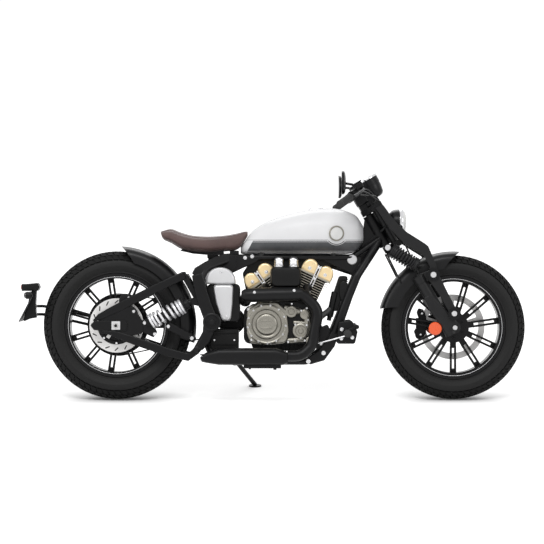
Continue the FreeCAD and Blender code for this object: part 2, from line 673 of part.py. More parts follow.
def build_engine():
    x, z = size.crank_x, size.crank_z
    half = size.crankcase_half_width
    case = slab("crankcase_block", [
        (x - 218, z - 87), (x + 83, z - 87), (x + 110, z - 40), (x + 105, z + 60), (x + 40, z + 105),
        (x - 120, z + 105), (x - 218, z + 70)], half * 2)
    banks = []
    heads = []
    for name, angle in (("front", size.front_cylinder_angle), ("rear", -size.rear_cylinder_angle)):
        bank, head = cylinder_bank(name)
        tilt = Rotation(Vector(0, 1, 0), number_of(angle))
        banks.append(moved(group(f"{name}_bank_tilted", bank), x, zero, z, tilt))
        heads.append(moved(group(f"{name}_head_tilted", head), x, zero, z, tilt))
    node("crankcase", cut("crankcase_open", case, group("bank_copies", *banks)))
    node("cylinders", *banks)
    node("cylinder_heads", *heads)
    cover_end = half + size.cover_width
    gap = size.seat_gap
    right_plate = slab("right_cover_plate", [
        (x - 186, z - 87), (x + 83, z - 87), (x + 100, z - 30), (x + 60, z + 90), (x - 150, z + 97),
        (x - 186, z + 40)], size.cover_width * 0.5, -(half + gap + size.cover_width * 0.25))
    clutch = moved(drum("clutch_drum", -cover_end, -half - gap, size.clutch_radius),
                   size.clutch_x, zero, size.clutch_z)
    left_plate = slab("left_cover_plate", [
        (x - 100, z - 87), (x + 83, z - 87), (x + 100, z - 30), (x + 60, z + 90), (x - 80, z + 90)],
        size.cover_width * 0.5, half + gap + size.cover_width * 0.25)
    alternator = moved(drum("alternator_drum", half + gap, cover_end, size.clutch_radius * 1.1), x, zero, z)
    sprocket_y = size.rear_hub_width / 2 + size.front_pulley_radius
    pulley_cover = moved(drum("pulley_cover_drum", sprocket_y - 4, sprocket_y + 2, size.front_pulley_radius + 14),
                         size.pivot_x + 82, zero, size.pivot_z)
    node("engine_covers", fused("right_cover", right_plate, clutch),
         fused("left_cover", left_plate, alternator), pulley_cover)
    box_x = x - 100
    air = slab("air_box", [(box_x, z + 163), (box_x + 136, z + 163), (box_x + 136, z + 253),
                           (box_x, z + 253)], size.cover_width * 1.5, -half - size.cover_width * 0.5,
               corner=size.frame_tube_radius)
    neck = box("air_neck", (x - 45, -half + 10, z + 165), (x + 5, zero - 30, z + 210))
    node("air_cleaner", cut("air_cleaner_open", fused("air_cleaner_whole", air, neck),
                            group("bank_shapes", *banks)))
    dome_y = -half - size.cover_width * 0.5
    domes = [rod(f"dome_{index}", (x + shift, dome_y, z + 253 + gap), (x + shift, dome_y, z + 298),
                 size.pivot_tube_radius) for index, shift in enumerate((-62, 2))]
    node("intake_domes", *domes)
    node("radiator", slab("radiator_core", [
        (x + 150, z + 52), (x + 195, z + 52), (x + 250, z + 217), (x + 205, z + 217)],
        (size.cradle_half_gap - size.frame_tube_radius) * 1.6))


def build_exhaust():
    silencer_mouth_share = 40 / 75
    silencer_squareness_share = 0.55
    x, z = size.crank_x, size.crank_z
    y = -(size.crankcase_half_width + size.cover_width + size.moving_gap)
    port_y = -size.fin_width / 2 - size.seat_gap
    pipe_end = x + size.pipe_end_x
    end_z = z - size.silencer_drop + size.silencer_height * silencer_mouth_share
    main_pipe = tube("main_pipe", [
        (x - 215, y, z + 128), (x + 42, y, z + 135), (x + 112, y, z + 62), (x + 84, y - 8, z - 92),
        (pipe_end + size.pipe_end_run, -size.silencer_y, end_z), (pipe_end, -size.silencer_y, end_z)],
        size.pipe_radius, size.pipe_radius * 3)
    rear_port = rod("rear_port", (x - 122, port_y, z + 131), (x - 122, y, z + 131), size.port_radius)
    front_port = rod("front_port", (x + 42, port_y, z + 128), (x + 42, y, z + 128), size.port_radius)
    shield = slab("heat_shield_plate", [
        (x - 226, z + 110), (x + 40, z + 112), (x + 48, z + 143), (x - 190, z + 159), (x - 226, z + 150)],
        size.fender_thickness, y - size.pipe_radius - size.fender_thickness / 2 - size.seat_gap)
    node("exhaust_pipes", fused("exhaust_whole", main_pipe, rear_port, front_port), shield)
    silencer_stations = ((0.0, 0.35, 0.4, 0.5), (0.02, 0.7, 0.19, 0.59), (0.065, 0.9, 0.13, 0.73),
                         (0.21, 1.0, 0.01, 0.99), (0.87, 1.0, 0.0, 1.0), (0.95, 1.0, 0.02, 0.87),
                         (1.0, 0.92, 0.1, 0.76))
    can = hull("silencer_body", pipe_end - size.seat_gap - size.silencer_length, z - size.silencer_drop,
               size.silencer_length, size.silencer_half_width, size.silencer_height, silencer_stations,
               silencer_squareness_share)
    node("silencer", moved(group("silencer_set", can), y=-size.silencer_y))


def build_tank_and_seat():
    tank_stations = ((0.0, 0.10, 0.02, 0.20), (0.03, 0.36, 0.0, 0.27), (0.1, 0.58, 0.0, 0.52),
                     (0.2, 0.74, 0.0, 0.70), (0.35, 0.88, 0.0, 0.85), (0.5, 0.97, 0.0, 0.95),
                     (0.65, 1.0, 0.0, 1.0), (0.78, 0.95, 0.0, 1.0), (0.88, 0.8, 0.06, 0.92),
                     (0.95, 0.58, 0.19, 0.80), (1.0, 0.16, 0.36, 0.56))
    top = size.tank_z + size.tank_height
    cap_x = size.tank_x + size.tank_length * 0.62
    recess = rod("cap_recess", (cap_x, zero, top - size.cap_height / 2), (cap_x, zero, top + size.cap_height),
                 size.cap_radius + size.seat_gap)
    body = hull("tank_body", size.tank_x, size.tank_z, size.tank_length, size.tank_half_width,
                size.tank_height, tank_stations, 0.8)
    node("fuel_tank", cut("tank_open", body, recess))
    node("filler_cap", rod("cap_body", (cap_x, zero, top - size.cap_height / 2 + size.seat_gap),
                           (cap_x, zero, top + size.cap_height / 2), size.cap_radius))
    seat_stations = ((0.0, 0.72, 0.78, 0.88), (0.03, 0.84, 0.56, 0.93), (0.13, 0.97, 0.40, 1.0),
                     (0.25, 1.0, 0.17, 0.86), (0.4, 0.98, 0.05, 0.73), (0.6, 0.86, 0.0, 0.69),
                     (0.8, 0.66, 0.06, 0.75), (0.93, 0.54, 0.1, 0.86), (1.0, 0.46, 0.2, 0.84))
    node("seat", hull("seat_body", size.seat_x, size.seat_z, size.seat_length, size.seat_half_width,
                      size.seat_height, seat_stations, 0.8))
    pan_x, pan_z = size.seat_x + size.seat_length * 0.25, size.seat_z - 3
    plate = slab("seat_pan_plate", [
        (pan_x, pan_z + 12), (pan_x + 52, pan_z), (pan_x + 122, pan_z - 6), (pan_x + 191, pan_z - 6),
        (pan_x + 191, pan_z - 1), (pan_x + 122, pan_z - 1), (pan_x + 52, pan_z + 4), (pan_x, pan_z + 17)],
        size.seat_half_width * 1.2)
    bracket = box("seat_bracket", (size.pivot_x - 20, zero - 22, size.pivot_z + 260),
                  (size.pivot_x + 20, zero + 22, pan_z - 4))
    node("seat_pan", fused("seat_pan_whole", plate, bracket))


def build_middle():
    x, z = size.pivot_x, size.pivot_z
    inner = size.swing_half_gap - size.swing_tube_radius - size.moving_gap
    node("electrics_box", box("electrics_body", (x - 18, -inner, z + 32), (x + 122, inner * 0.55, z + 166)),
         box("battery_body", (x + 2, -inner, z - 108), (x + 101, inner * 0.55, z - 38)))
    cover_y = -inner - 18
    node("side_cover", slab("side_cover_body", [
        (x + 45, z + 3), (x + 81, z + 3), (x + 92, z + 162), (x + 105, z + 167), (x + 95, z + 205),
        (x + 43, z + 238), (x - 15, z + 205), (x - 30, z + 167), (x + 6, z + 162)], zero + 30, cover_y))


def build_rear_end():
    node("rear_fender", fender("rear_fender_sheet", size.rear_fender_radius, size.rear_fender_skirt,
                               size.rear_fender_half_width, 3, 100), at=at_rear)
    y = size.swing_half_gap
    axle = size.rear_tyre_radius
    y = y + size.swing_plate_thickness / 2 + size.swing_tube_radius * 0.6 + size.seat_gap
    arms = [tube(f"tail_arm_{index}", [
        (zero - 50, y, axle + low), (zero - 340, y, axle + high), (zero - 372, y * 0.8, axle + high),
        (zero - 372, zero, axle + high)], size.swing_tube_radius * 0.6, size.swing_tube_radius * 3)
        for index, (low, high) in enumerate(((20, 83), (-20, 46)))]
    holder = slab("plate_holder", [(zero - 376, axle + 160), (zero - 366, axle + 160),
                                   (zero - 366, axle + 40), (zero - 376, axle + 40)], zero + 60)
    node("number_plate", slab("plate_body", [
        (zero - 379, axle + 121), (zero - 376.3, axle + 122), (zero - 430, axle + 16), (zero - 433, axle + 17)],
        zero + 180))
    lamp = box("lamp_body", (zero - 423, zero - 45, axle + 152), (zero - 376.3, zero + 45, axle + 183))
    node("tail_carrier", fused("tail_whole", holder, *arms), lamp)
    disc_face = size.rear_hub_width / 2 + size.disc_gap - size.disc_thickness / 2
    reach = size.disc_thickness / 2 + size.moving_gap
    block = box("rear_caliper_block", (zero + 14, -disc_face - 32, axle + 80),
                (zero + 66, -disc_face + 24, axle + 140))
    slot = box("rear_caliper_slot", (zero - 40, -disc_face - reach, axle - 20),
               (zero + 100, -disc_face + reach, axle + 128))
    node("rear_caliper", cut("rear_caliper_body", block, slot))


def build_drive():
    x = size.pivot_x + 82
    front, rear = size.front_pulley_radius + size.seat_gap, size.pulley_radius + size.seat_gap
    axle = size.rear_tyre_radius
    z = size.pivot_z
    y = size.rear_hub_width / 2 + 30
    node("drive_belt", belt_loop("belt", zero, axle, rear, x, z, front, size.belt_thickness, size.belt_width, y))


def belt_loop(title, x_a, z_a, r_a, x_b, z_b, r_b, thickness, width, y):
    """A flat loop around two pulleys."""
    loops = []
    for name, extra in (("outer", thickness), ("inner", zero)):
        start, end = vector(x_a, z_a, 0), vector(x_b, z_b, 0)
        big, small = number_of(r_a + extra), number_of(r_b + extra)
        way = end - start
        slope = math.atan2(way.y, way.x)
        swing = math.acos((big - small) / way.Length)
        touches = []
        for side in (1, -1):
            unit = Vector(math.cos(slope + side * swing), math.sin(slope + side * swing), 0)
            touches.append((start + unit * big, end + unit * small))
        back = start - Vector(math.cos(slope), math.sin(slope), 0) * big
        front = end + Vector(math.cos(slope), math.sin(slope), 0) * small
        stand = lambda point: Vector(point.x, 0, point.y)
        wire = Part.Wire([
            Part.LineSegment(stand(touches[0][0]), stand(touches[0][1])).toShape(),
            Part.Arc(stand(touches[0][1]), stand(front), stand(touches[1][1])).toShape(),
            Part.LineSegment(stand(touches[1][1]), stand(touches[1][0])).toShape(),
            Part.Arc(stand(touches[1][0]), stand(back), stand(touches[0][0])).toShape()])
        loops.append(wire)
    face = Part.Face(loops[0]).cut(Part.Face(loops[1]))
    body = doc.addObject("Part::Feature", title)
    solid = face.extrude(Vector(0, number_of(width), 0))
    solid.translate(Vector(0, number_of(y) - number_of(width) / 2, 0))
    body.Shape = solid
    return body


def build_controls():
    blocks = []
    x, z = size.pivot_x + 595, size.bottom_rail_z + 125
    y = size.cradle_half_gap + size.frame_tube_radius
    block = box("foot_block", (x - 43, y + 0.3, z - 37), (x + 40, y + 22, z + 38))
    peg = rod("foot_peg", (x, y + 22, z), (x, y + 125, z), size.frame_tube_radius)
    lever = rod("foot_lever", (x + 30, y + 22, z), (x + 38, y + 110, z), size.swing_tube_radius * 0.6)
    right = mirrored("foot_controls_right", fused("foot_controls_left", block, peg, lever))
    node("foot_controls", fused("foot_controls_left_again", block, peg, lever), right)


def stand_foot_point():
    """Where the middle of the foot's sole meets the floor once the bike leans."""
    foot_y = size.stand_pivot_y + size.stand_reach_y
    floor_z = (foot_y * sine(size.lean_angle) - crown_lift) / cosine(size.lean_angle)
    return size.stand_pivot_x + size.stand_reach_x, foot_y, floor_z


def stand_axis():
    """The pivot's direction, square to the leg both when it stands and when it is folded."""
    standing = vector(*stand_foot_point()) - vector(size.stand_pivot_x, size.stand_pivot_y, size.stand_pivot_z)
    folded = vector(size.stand_fold_x, size.stand_fold_y, size.stand_fold_z)
    return standing.cross(folded).normalize()


def around_stand_pivot(title, low, high, radius):
    """A round piece on the stand's pivot axis."""
    piece = rod(title, (zero, zero, low), (zero, zero, high), radius)
    return moved(group(title + "_set", piece), size.stand_pivot_x, size.stand_pivot_y,
                 size.stand_pivot_z, Rotation(Vector(0, 0, 1), stand_axis()))


def stand_lug_and_pin(rail_y):
    half = size.stand_boss_half
    face = half + size.seat_gap
    thick = size.stand_lug_thickness
    disc = around_stand_pivot("stand_lug_disc", -face - thick, -face, size.stand_boss_radius)
    pin = around_stand_pivot("stand_pin", -face - thick / 2, face + thick / 4, size.stand_pin_radius)
    head = around_stand_pivot("stand_pin_head", face, face + thick / 3, size.stand_boss_radius * 0.8)
    arm = rod("stand_lug_arm", (size.stand_pivot_x, rail_y, size.bottom_rail_z - thick / 2),
              (size.stand_pivot_x - thick / 8, rail_y + thick * 1.8, size.bottom_rail_z - thick * 1.5),
              thick * 0.6)
    return arm, disc, pin, head


def build_stand():
    pivot = (size.stand_pivot_x, size.stand_pivot_y, size.stand_pivot_z)
    lean_sine, lean_cosine = sine(size.lean_angle), cosine(size.lean_angle)
    foot = stand_foot_point()
    thick = size.foot_thickness
    leg = rod("stand_leg", pivot, (foot[0], foot[1] - lean_sine * thick * 1.3,
                                   foot[2] + lean_cosine * thick * 1.3), size.stand_radius)
    pad = rod("stand_foot", foot, (foot[0], foot[1] - lean_sine * thick, foot[2] + lean_cosine * thick),
              size.foot_radius)
    boss = around_stand_pivot("stand_boss", -size.stand_boss_half, size.stand_boss_half,
                              size.stand_boss_radius)
    bore = around_stand_pivot("stand_bore", -size.stand_boss_half * 3, size.stand_boss_half * 3,
                              size.stand_pin_radius + size.running_gap)
    node("side_stand", cut("stand_bored", fused("stand_whole", leg, pad, boss), bore))


def build_fork():
    height = size.yoke_height
    depth = size.yoke_depth
    beam = slab("beam", [
        (zero + 35, zero + 12), (zero + 67, zero + 12), (zero + 72, zero - 30), (zero + 87, zero - 105),
        (zero + 101, zero - 148), (zero + 111, zero - 167), (zero + 146, zero - 233), (zero + 152, zero - 250),
        (zero + 147, zero - 292), (zero + 140, zero - 342), (zero + 125, zero - 375), (zero + 96, zero - 378),
        (zero + 88, zero - 360), (zero + 113, zero - 331), (zero + 115, zero - 279), (zero + 77, zero - 208),
        (zero + 66, zero - 184), (zero + 45, zero - 100)], size.beam_thickness, size.beam_y)
    boss = moved(drum("beam_boss", size.leg_y - 3, size.link_y + 6, size.boss_radius),
                 zero + 108, zero, zero - 369.5)
    link = slab("link", [(zero + 120, zero - 378), (zero + 110, zero - 545), (zero + 92, zero - 545),
                         (zero + 96, zero - 378)], size.link_thickness, size.link_y)
    node("girder_beams", pair("beams", fused("beam_whole", beam, boss, link)), at=steered)
    wide = size.beam_y - size.beam_thickness / 2 - size.seat_gap
    upper = moved(slab("upper_yoke", [
        (zero - 28, zero - 34), (zero + 32, -wide), (zero + 70, -wide), (zero + 70, wide), (zero + 32, wide),
        (zero - 28, zero + 34)], height, role="XY_Plane"), z=height / 2 + 3)
    low = -size.head_tube_length - height - 5
    narrow = size.beam_y - size.fork_spring_radius - size.moving_gap
    lower = moved(slab("lower_yoke", [
        (zero - 22, zero - 36), (zero + 24, -narrow), (zero + 62, -narrow), (zero + 62, narrow),
        (zero + 24, narrow), (zero - 22, zero + 36)], height, role="XY_Plane"), z=low + height / 2)
    spring_pin = rod("spring_pin", (zero, -size.beam_y - size.boss_radius / 2, zero - 170),
                     (zero, size.beam_y + size.boss_radius / 2, zero - 170), size.boss_radius / 3)
    stem = rod("stem", (zero, zero, low + 5), (zero, zero, zero + 20), size.stem_radius)
    tubes = [rod(f"fork_tube_{side}", (zero + 38, size.fork_tube_y * side, low + 5),
                 (zero + 38, size.fork_tube_y * side, zero + 40), size.fork_tube_radius)
             for side in (-1, 1)]
    node("fork_yokes", fused("yokes_whole", upper, lower, stem, spring_pin, *tubes), at=steered)
    leg_f = 48.6
    leg = rod("leg", (zero + leg_f, size.leg_y, zero - 640), (zero + leg_f, size.leg_y, zero - 341),
              size.leg_radius)
    lug = moved(drum("axle_lug", size.leg_y - 15, size.leg_y + 15, size.boss_radius * 1.1),
                zero + 73.9, zero, zero - 618.6)
    leg_bore = moved(drum("leg_bore", size.leg_y - 60, size.leg_y + 60,
                          size.axle_radius + size.running_gap), zero + 73.9, zero, zero - 618.6)
    node("fork_legs", pair("legs", cut("leg_bored", fused("leg_whole", leg, lug), leg_bore)), at=steered)
    spring = rod("fork_spring", (zero + 5, size.beam_y, zero - 179), (zero + 70, size.beam_y, zero - 300),
                 size.fork_spring_radius)
    node("front_springs", pair("springs", spring), at=steered)
    node("front_fender", fender("front_fender_sheet", size.front_fender_radius, size.front_fender_skirt,
                                size.front_fender_half_width, -85, 90), at=at_front)
    disc_face = size.front_hub_width / 2 + size.disc_gap - size.disc_thickness / 2
    reach = size.disc_thickness / 2 + size.moving_gap
    block = box("front_caliper_block", (zero - 170, disc_face - 26, zero - 60),
                (zero - 105, disc_face + 24, zero + 40))
    slot = box("front_caliper_slot", (zero - 150, disc_face - reach, zero - 80),
               (zero - 60, disc_face + reach, zero + 80))
    node("front_caliper", cut("front_caliper_body", block, slot), at=at_front)


def build_handlebar():
    up = zero + 110
    bar = tube("bar", [(zero - 99, zero - 380, up - 7), (zero - 4, zero - 205, up + 3), (zero - 8, zero, up - 4),
                       (zero - 4, zero + 205, up + 3), (zero - 99, zero + 380, up - 7)], size.bar_radius,
               size.bar_radius * 8)
    riser = box("riser", (zero - 24, zero - 45, zero + 29), (zero + 12, zero + 45, up - 5))
    left_end, left_start = (zero - 99, zero + 380, up - 7), (zero - 99 + 58, zero + 380 - 108, up - 1)
    outer = (zero - 101, zero + 383, up - 7)
    sleeve = rod("grip_sleeve", left_start, outer, size.grip_radius)
    core = rod("grip_core", (zero - 4, zero + 205, up + 3), left_end, size.bar_radius + size.running_gap)
    node("grips", pair("grips_both", cut("grip", sleeve, core)), at=steered)
    perch = box("control_block", (zero - 30, zero + 225, up - 24), (zero + 20, zero + 262, up + 24))
    perch_bore = rod("control_bore", (zero - 4, zero + 205, up + 3), left_end,
                     size.bar_radius + size.running_gap)
    lever = rod("lever", (zero + 15, zero + 245, up), (zero - 30, zero + 390, up - 6), size.swing_tube_radius / 2)
    node("hand_controls", pair("controls", fused("control", cut("control_open", perch, perch_bore), lever)),
         at=steered)
    mirror_y = zero + 300
    ahead_f, ahead_up = cosine(size.rake_angle) * size.mirror_depth / 2, sine(size.rake_angle) * size.mirror_depth / 2
    mirror_up = zero + 176
    glass = rod("mirror_disc", (zero - 37 - ahead_f, mirror_y - 3, mirror_up + ahead_up),
                (zero - 37 + ahead_f, mirror_y + 3, mirror_up - ahead_up), size.mirror_radius)
    stalk = tube("mirror_stalk", [(zero - 5, zero + 245, up + 24.3), (zero - 5, zero + 245, up + 45),
                                  (zero - 34, mirror_y, zero + 180)], size.swing_tube_radius / 2,
                 size.swing_tube_radius * 2)
    node("mirrors", pair("mirrors_both", fused("mirror", glass, stalk)), at=steered)
    gauge = rod("gauge", (zero + 67, zero, zero + 110), (zero + 67, zero, zero + 110 + size.gauge_height),
                size.gauge_radius)
    bracket = box("gauge_bracket", (zero, zero - 14, zero + 94), (zero + 60, zero + 14, zero + 113))
    node("handlebar", fused("bar_whole", bar, riser, bracket, gauge), at=steered)
    radius = size.headlight_radius
    bucket = turned("lamp_bucket", [(zero, zero), (zero, radius * 0.75), (-radius * 0.25, radius),
                                    (-size.headlight_depth * 0.6, radius), (-size.headlight_depth * 0.7, zero)])
    node("headlight", moved(group("lamp_turned", bucket), size.stem_x + 100, zero, size.stem_z - 33,
                            Rotation(Vector(0, 0, 1), 90)))


build_wheels()
build_frame()
build_swing_arm()
build_shock()
build_engine()
build_exhaust()
build_tank_and_seat()
build_middle()
build_rear_end()
build_drive()
build_controls()
build_stand()
build_fork()
build_handlebar()
doc.recompute()

# Nothing is written unless every object built and every sub-part is a sound solid.
for item in doc.Objects:
    if "Invalid" in item.State or "Error" in item.State:
        raise RuntimeError(f"{item.Name} did not build: {item.State}")
for whole in nodes:
    if whole.Shape.isNull() or not whole.Shape.isValid() or not whole.Shape.Solids:
        raise RuntimeError(f"{whole.Label} has no valid solid")

os.makedirs("parts", exist_ok=True)
for whole in nodes:
    shape = whole.Shape
    print(whole.Label, len(shape.Solids), round(shape.Volume), shape.BoundBox)
    shape.exportStep(f"parts/{whole.Label}.step")
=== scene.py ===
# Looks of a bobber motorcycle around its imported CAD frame.
# Shapes are given in millimetres in the upright bike's own axes: x forward from the rear
# axle, y to the left, z up from the floor. Matrices from the frame's joints lean them.
import json
import math

import bmesh
import bpy
from mathutils import Matrix, Vector


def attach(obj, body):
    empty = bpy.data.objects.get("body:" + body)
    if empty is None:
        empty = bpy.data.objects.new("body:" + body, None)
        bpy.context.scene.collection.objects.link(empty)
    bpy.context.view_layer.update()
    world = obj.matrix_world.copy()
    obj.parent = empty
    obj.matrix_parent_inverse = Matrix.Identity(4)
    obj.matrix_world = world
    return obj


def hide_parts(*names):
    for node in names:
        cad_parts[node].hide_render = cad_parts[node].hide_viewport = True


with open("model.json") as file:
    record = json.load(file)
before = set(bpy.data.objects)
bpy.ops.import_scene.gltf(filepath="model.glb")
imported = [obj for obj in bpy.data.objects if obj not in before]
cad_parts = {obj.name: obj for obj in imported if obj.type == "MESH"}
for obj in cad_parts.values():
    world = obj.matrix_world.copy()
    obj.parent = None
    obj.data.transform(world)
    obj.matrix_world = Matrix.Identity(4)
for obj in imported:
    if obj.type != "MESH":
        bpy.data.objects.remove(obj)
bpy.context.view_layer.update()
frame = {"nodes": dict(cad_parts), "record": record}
joints = {joint["name"]: joint for joint in frame["record"]["behaviour"]["joints"]}

MM = 0.001
REAR_TYRE_RADIUS, FRONT_TYRE_RADIUS = 329.0, 320.0
RIM_SEAT, RIM_FLANGE = 216.0, 230.0


def axes_matrix(origin, x_axis, y_axis, z_axis):
    rows = [[x_axis[i], y_axis[i], z_axis[i], origin[i]] for i in range(3)]
    return Matrix(rows + [[0, 0, 0, 1]])


left = Vector(joints["rear_wheel_spin"]["axis"]).normalized()
ahead = Vector((1, 0, 0))
above = ahead.cross(left).normalized()
rear_axle = Vector(joints["rear_wheel_spin"]["pos_m"])
front_axle = Vector(joints["front_wheel_spin"]["pos_m"])
steer_point = Vector(joints["steering"]["pos_m"])
steer_up = Vector(joints["steering"]["axis"]).normalized()
UPRIGHT = axes_matrix(rear_axle - above * REAR_TYRE_RADIUS * MM, ahead, left, above)
REAR = axes_matrix(rear_axle, ahead, left, above)
FRONT = axes_matrix(front_axle, ahead, left, above)
FORK = axes_matrix(steer_point, left.cross(steer_up), left, steer_up)


# Shapes
class Shape:
    """Vertices in millimetres and faces that index them."""

    def __init__(self, verts=(), faces=()):
        self.verts = [Vector(v) for v in verts]
        self.faces = [tuple(f) for f in faces]

    def __add__(self, other):
        shift = len(self.verts)
        faces = [tuple(i + shift for i in f) for f in other.faces]
        return Shape(self.verts + other.verts, self.faces + faces)

    def moved(self, matrix):
        return Shape([matrix @ v for v in self.verts], self.faces)

    def shifted(self, x=0, y=0, z=0):
        return self.moved(Matrix.Translation((x, y, z)))

    def other_side(self):
        return Shape([(v.x, -v.y, v.z) for v in self.verts], [f[::-1] for f in self.faces])

    def both(self):
        return self + self.other_side()


def joined(shapes):
    verts, faces = [], []
    for shape in shapes:
        shift = len(verts)
        verts += shape.verts
        faces += [tuple(i + shift for i in f) for f in shape.faces]
    return Shape(verts, faces)


def turn_y(degrees):
    return Matrix.Rotation(math.radians(degrees), 4, "Y")


def loft(rings, closed=False):
    """Skin over rings that all have the same number of points."""
    count = len(rings[0])
    verts = [v for ring in rings for v in ring]
    faces = []
    spans = len(rings) if closed else len(rings) - 1
    for i in range(spans):
        a, b = i * count, (i + 1) % len(rings) * count
        for j in range(count):
            k = (j + 1) % count
            faces.append((a + j, a + k, b + k, b + j))
    if not closed:
        faces.append(tuple(range(count))[::-1])
        last = (len(rings) - 1) * count
        faces.append(tuple(last + j for j in range(count)))
    return Shape(verts, faces)


def frames_along(path):
    """A sideways and an upward unit vector at each point of a path, without twist."""
    last = len(path) - 1
    ways = [(path[min(i + 1, last)] - path[max(i - 1, 0)]).normalized() for i in range(last + 1)]
    start = Vector((0, 0, 1)) if abs(ways[0].z) < 0.9 else Vector((1, 0, 0))
    side = ways[0].cross(start).normalized()
    out = []
    for way in ways:
        side = (side - way * side.dot(way)).normalized()
        out.append((side, way.cross(side)))
    return out


def sweep(path, radius, sides=12):
    """A round bar along a path. radius is a number or one number per point."""
    path = [Vector(p) for p in path]
    rings = []
    for i, (side, up) in enumerate(frames_along(path)):
        r = radius[i] if isinstance(radius, (list, tuple)) else radius
        rings.append([path[i] + (side * math.cos(t) + up * math.sin(t)) * r
                      for t in (2 * math.pi * k / sides for k in range(sides))])
    return loft(rings)


def rounded(points, radius, steps=5, closed=False):
    """A path whose corners are replaced by arcs."""
    points = [Vector(p) for p in points]
    count = len(points)
    out = []
    for i, corner in enumerate(points):
        if not closed and i in (0, count - 1):
            out.append(corner)
            continue
        before, after = points[i - 1], points[(i + 1) % count]
        a, b = (before - corner), (after - corner)
        half = (math.pi - a.angle(b)) / 2
        reach = min(radius * math.tan(half), 0.48 * a.length, 0.48 * b.length)
        if reach < 1e-6:
            out.append(corner)
            continue
        first, second = corner + a.normalized() * reach, corner + b.normalized() * reach
        for k in range(steps + 1):
            t = k / steps
            out.append(first * (1 - t) ** 2 + corner * 2 * t * (1 - t) + second * t ** 2)
    return out


def smooth_path(points, steps=8):
    """A Catmull-Rom curve through points."""
    points = [Vector(p) for p in points]
    ends = [points[0] * 2 - points[1]] + points + [points[-1] * 2 - points[-2]]
    out = []
    for a, b, c, d in zip(ends, ends[1:], ends[2:], ends[3:]):
        for k in range(steps):
            t = k / steps
            out.append(0.5 * (b * 2 + (c - a) * t + (a * 2 - b * 5 + c * 4 - d) * t ** 2
                              + (b * 3 - a - c * 3 + d) * t ** 3))
    return out + [points[-1]]


def tube(points, radius, bend=30, sides=16):
    return sweep(rounded(points, bend), radius, sides)


def round_between(start, end, profile, sides=28):
    """Turned about the line from start to end; profile holds (distance from start, radius)."""
    start, end = Vector(start), Vector(end)
    way = (end - start).normalized()
    side = way.orthogonal().normalized()
    up = way.cross(side)
    rings = [[start + way * t + (side * math.cos(a) + up * math.sin(a)) * r
              for a in (2 * math.pi * k / sides for k in range(sides))] for t, r in profile]
    return loft(rings)


def rod(start, end, radius, chamfer=1.0, sides=24):
    length = (Vector(end) - Vector(start)).length
    c = min(chamfer, radius * 0.4, length * 0.4)
    return round_between(start, end, [(0, radius - c), (c, radius), (length - c, radius),
                                      (length, radius - c)], sides)


def lathe(profile, sides=64, closed=False):
    """Turned about the local y axis; profile holds (y, radius)."""
    turns = [2 * math.pi * k / sides for k in range(sides)]
    rings = [[Vector((r * math.sin(a), y, r * math.cos(a))) for a in turns] for y, r in profile]
    return loft(rings, closed=closed)


def prism(outline, y_low, y_high):
    """An outline of (x, z) points given thickness along y."""
    low = [Vector((p[0], y_low, p[1])) for p in outline]
    high = [Vector((p[0], y_high, p[1])) for p in outline]
    return loft([low, high])


def rounded_outline(points, radius, steps=4):
    return [(p.x, p.z) for p in rounded([(x, 0, z) for x, z in points], radius, steps, closed=True)]


def block(low, high):
    outline = [(low[0], low[2]), (high[0], low[2]), (high[0], high[2]), (low[0], high[2])]
    return prism(outline, low[1], high[1])


def pillow(outline, y_base, y_top, inset, steps=5):
    """An outline that rises from y_base and rounds over to a slightly crowned face at y_top."""
    middle = Vector((sum(p[0] for p in outline), 0, sum(p[1] for p in outline))) / len(outline)
    reach = max((Vector((p[0], 0, p[1])) - middle).length for p in outline)
    rings = [[Vector((p[0], y_base, p[1])) for p in outline]]
    for step in range(steps + 1):
        turn = math.pi / 2 * step / steps
        shrink = 1 - inset * (1 - math.cos(turn)) / reach
        y = y_base + (y_top - y_base) * (0.35 + 0.65 * math.sin(turn))
        rings.append([Vector((middle.x + (p[0] - middle.x) * shrink, y,
                              middle.z + (p[1] - middle.z) * shrink)) for p in outline])
    return loft(rings)


def ring_of(x, half_width, low, high, power, count=48):
    """A ring across the bike, squarer as power falls."""
    middle, half = (low + high) / 2, (high - low) / 2
    out = []
    for k in range(count):
        t = 2 * math.pi * k / count
        across = math.copysign(abs(math.cos(t)) ** power, math.cos(t))
        up = math.copysign(abs(math.sin(t)) ** power, math.sin(t))
        out.append(Vector((x, half_width * across, middle + half * up)))
    return out


def stations_smoothed(stations, steps=5):
    """More stations between given ones, each a tuple of numbers, on a smooth curve."""
    ends = [stations[0]] + list(stations) + [stations[-1]]
    out = []
    for a, b, c, d in zip(ends, ends[1:], ends[2:], ends[3:]):
        for k in range(steps):
            t = k / steps
            out.append(tuple(0.5 * (2 * q + (r - p) * t + (2 * p - 5 * q + 4 * r - s) * t ** 2
                                    + (3 * q - p - 3 * r + s) * t ** 3)
                             for p, q, r, s in zip(a, b, c, d)))
    return out + [stations[-1]]


def coil(start, end, radius, wire, turns, steps=20, sides=8, ease=0.06):
    """A spring of round wire from start to end, with flat end turns."""
    start, end = Vector(start), Vector(end)
    way = end - start
    length = way.length
    way.normalize()
    side = way.orthogonal().normalized()
    up = way.cross(side)
    path = []
    total = int(turns * steps)
    for k in range(total + 1):
        share = k / total
        eased = share - ease * math.sin(2 * math.pi * share)
        t = wire + (length - 2 * wire) * eased
        a = 2 * math.pi * turns * share
        path.append(start + way * t + (side * math.cos(a) + up * math.sin(a)) * (radius - wire))
    return sweep(path, wire, sides)


def hex_bolt(at, way, radius=6, height=5):
    at, way = Vector(at), Vector(way).normalized()
    washer = round_between(at, at + way, [(0, radius * 1.35), (1.2, radius * 1.35), (1.4, radius * 1.2)], 20)
    head = round_between(at, at + way, [(1.2, radius), (height - 1, radius), (height, radius * 0.82)], 6)
    return washer + head


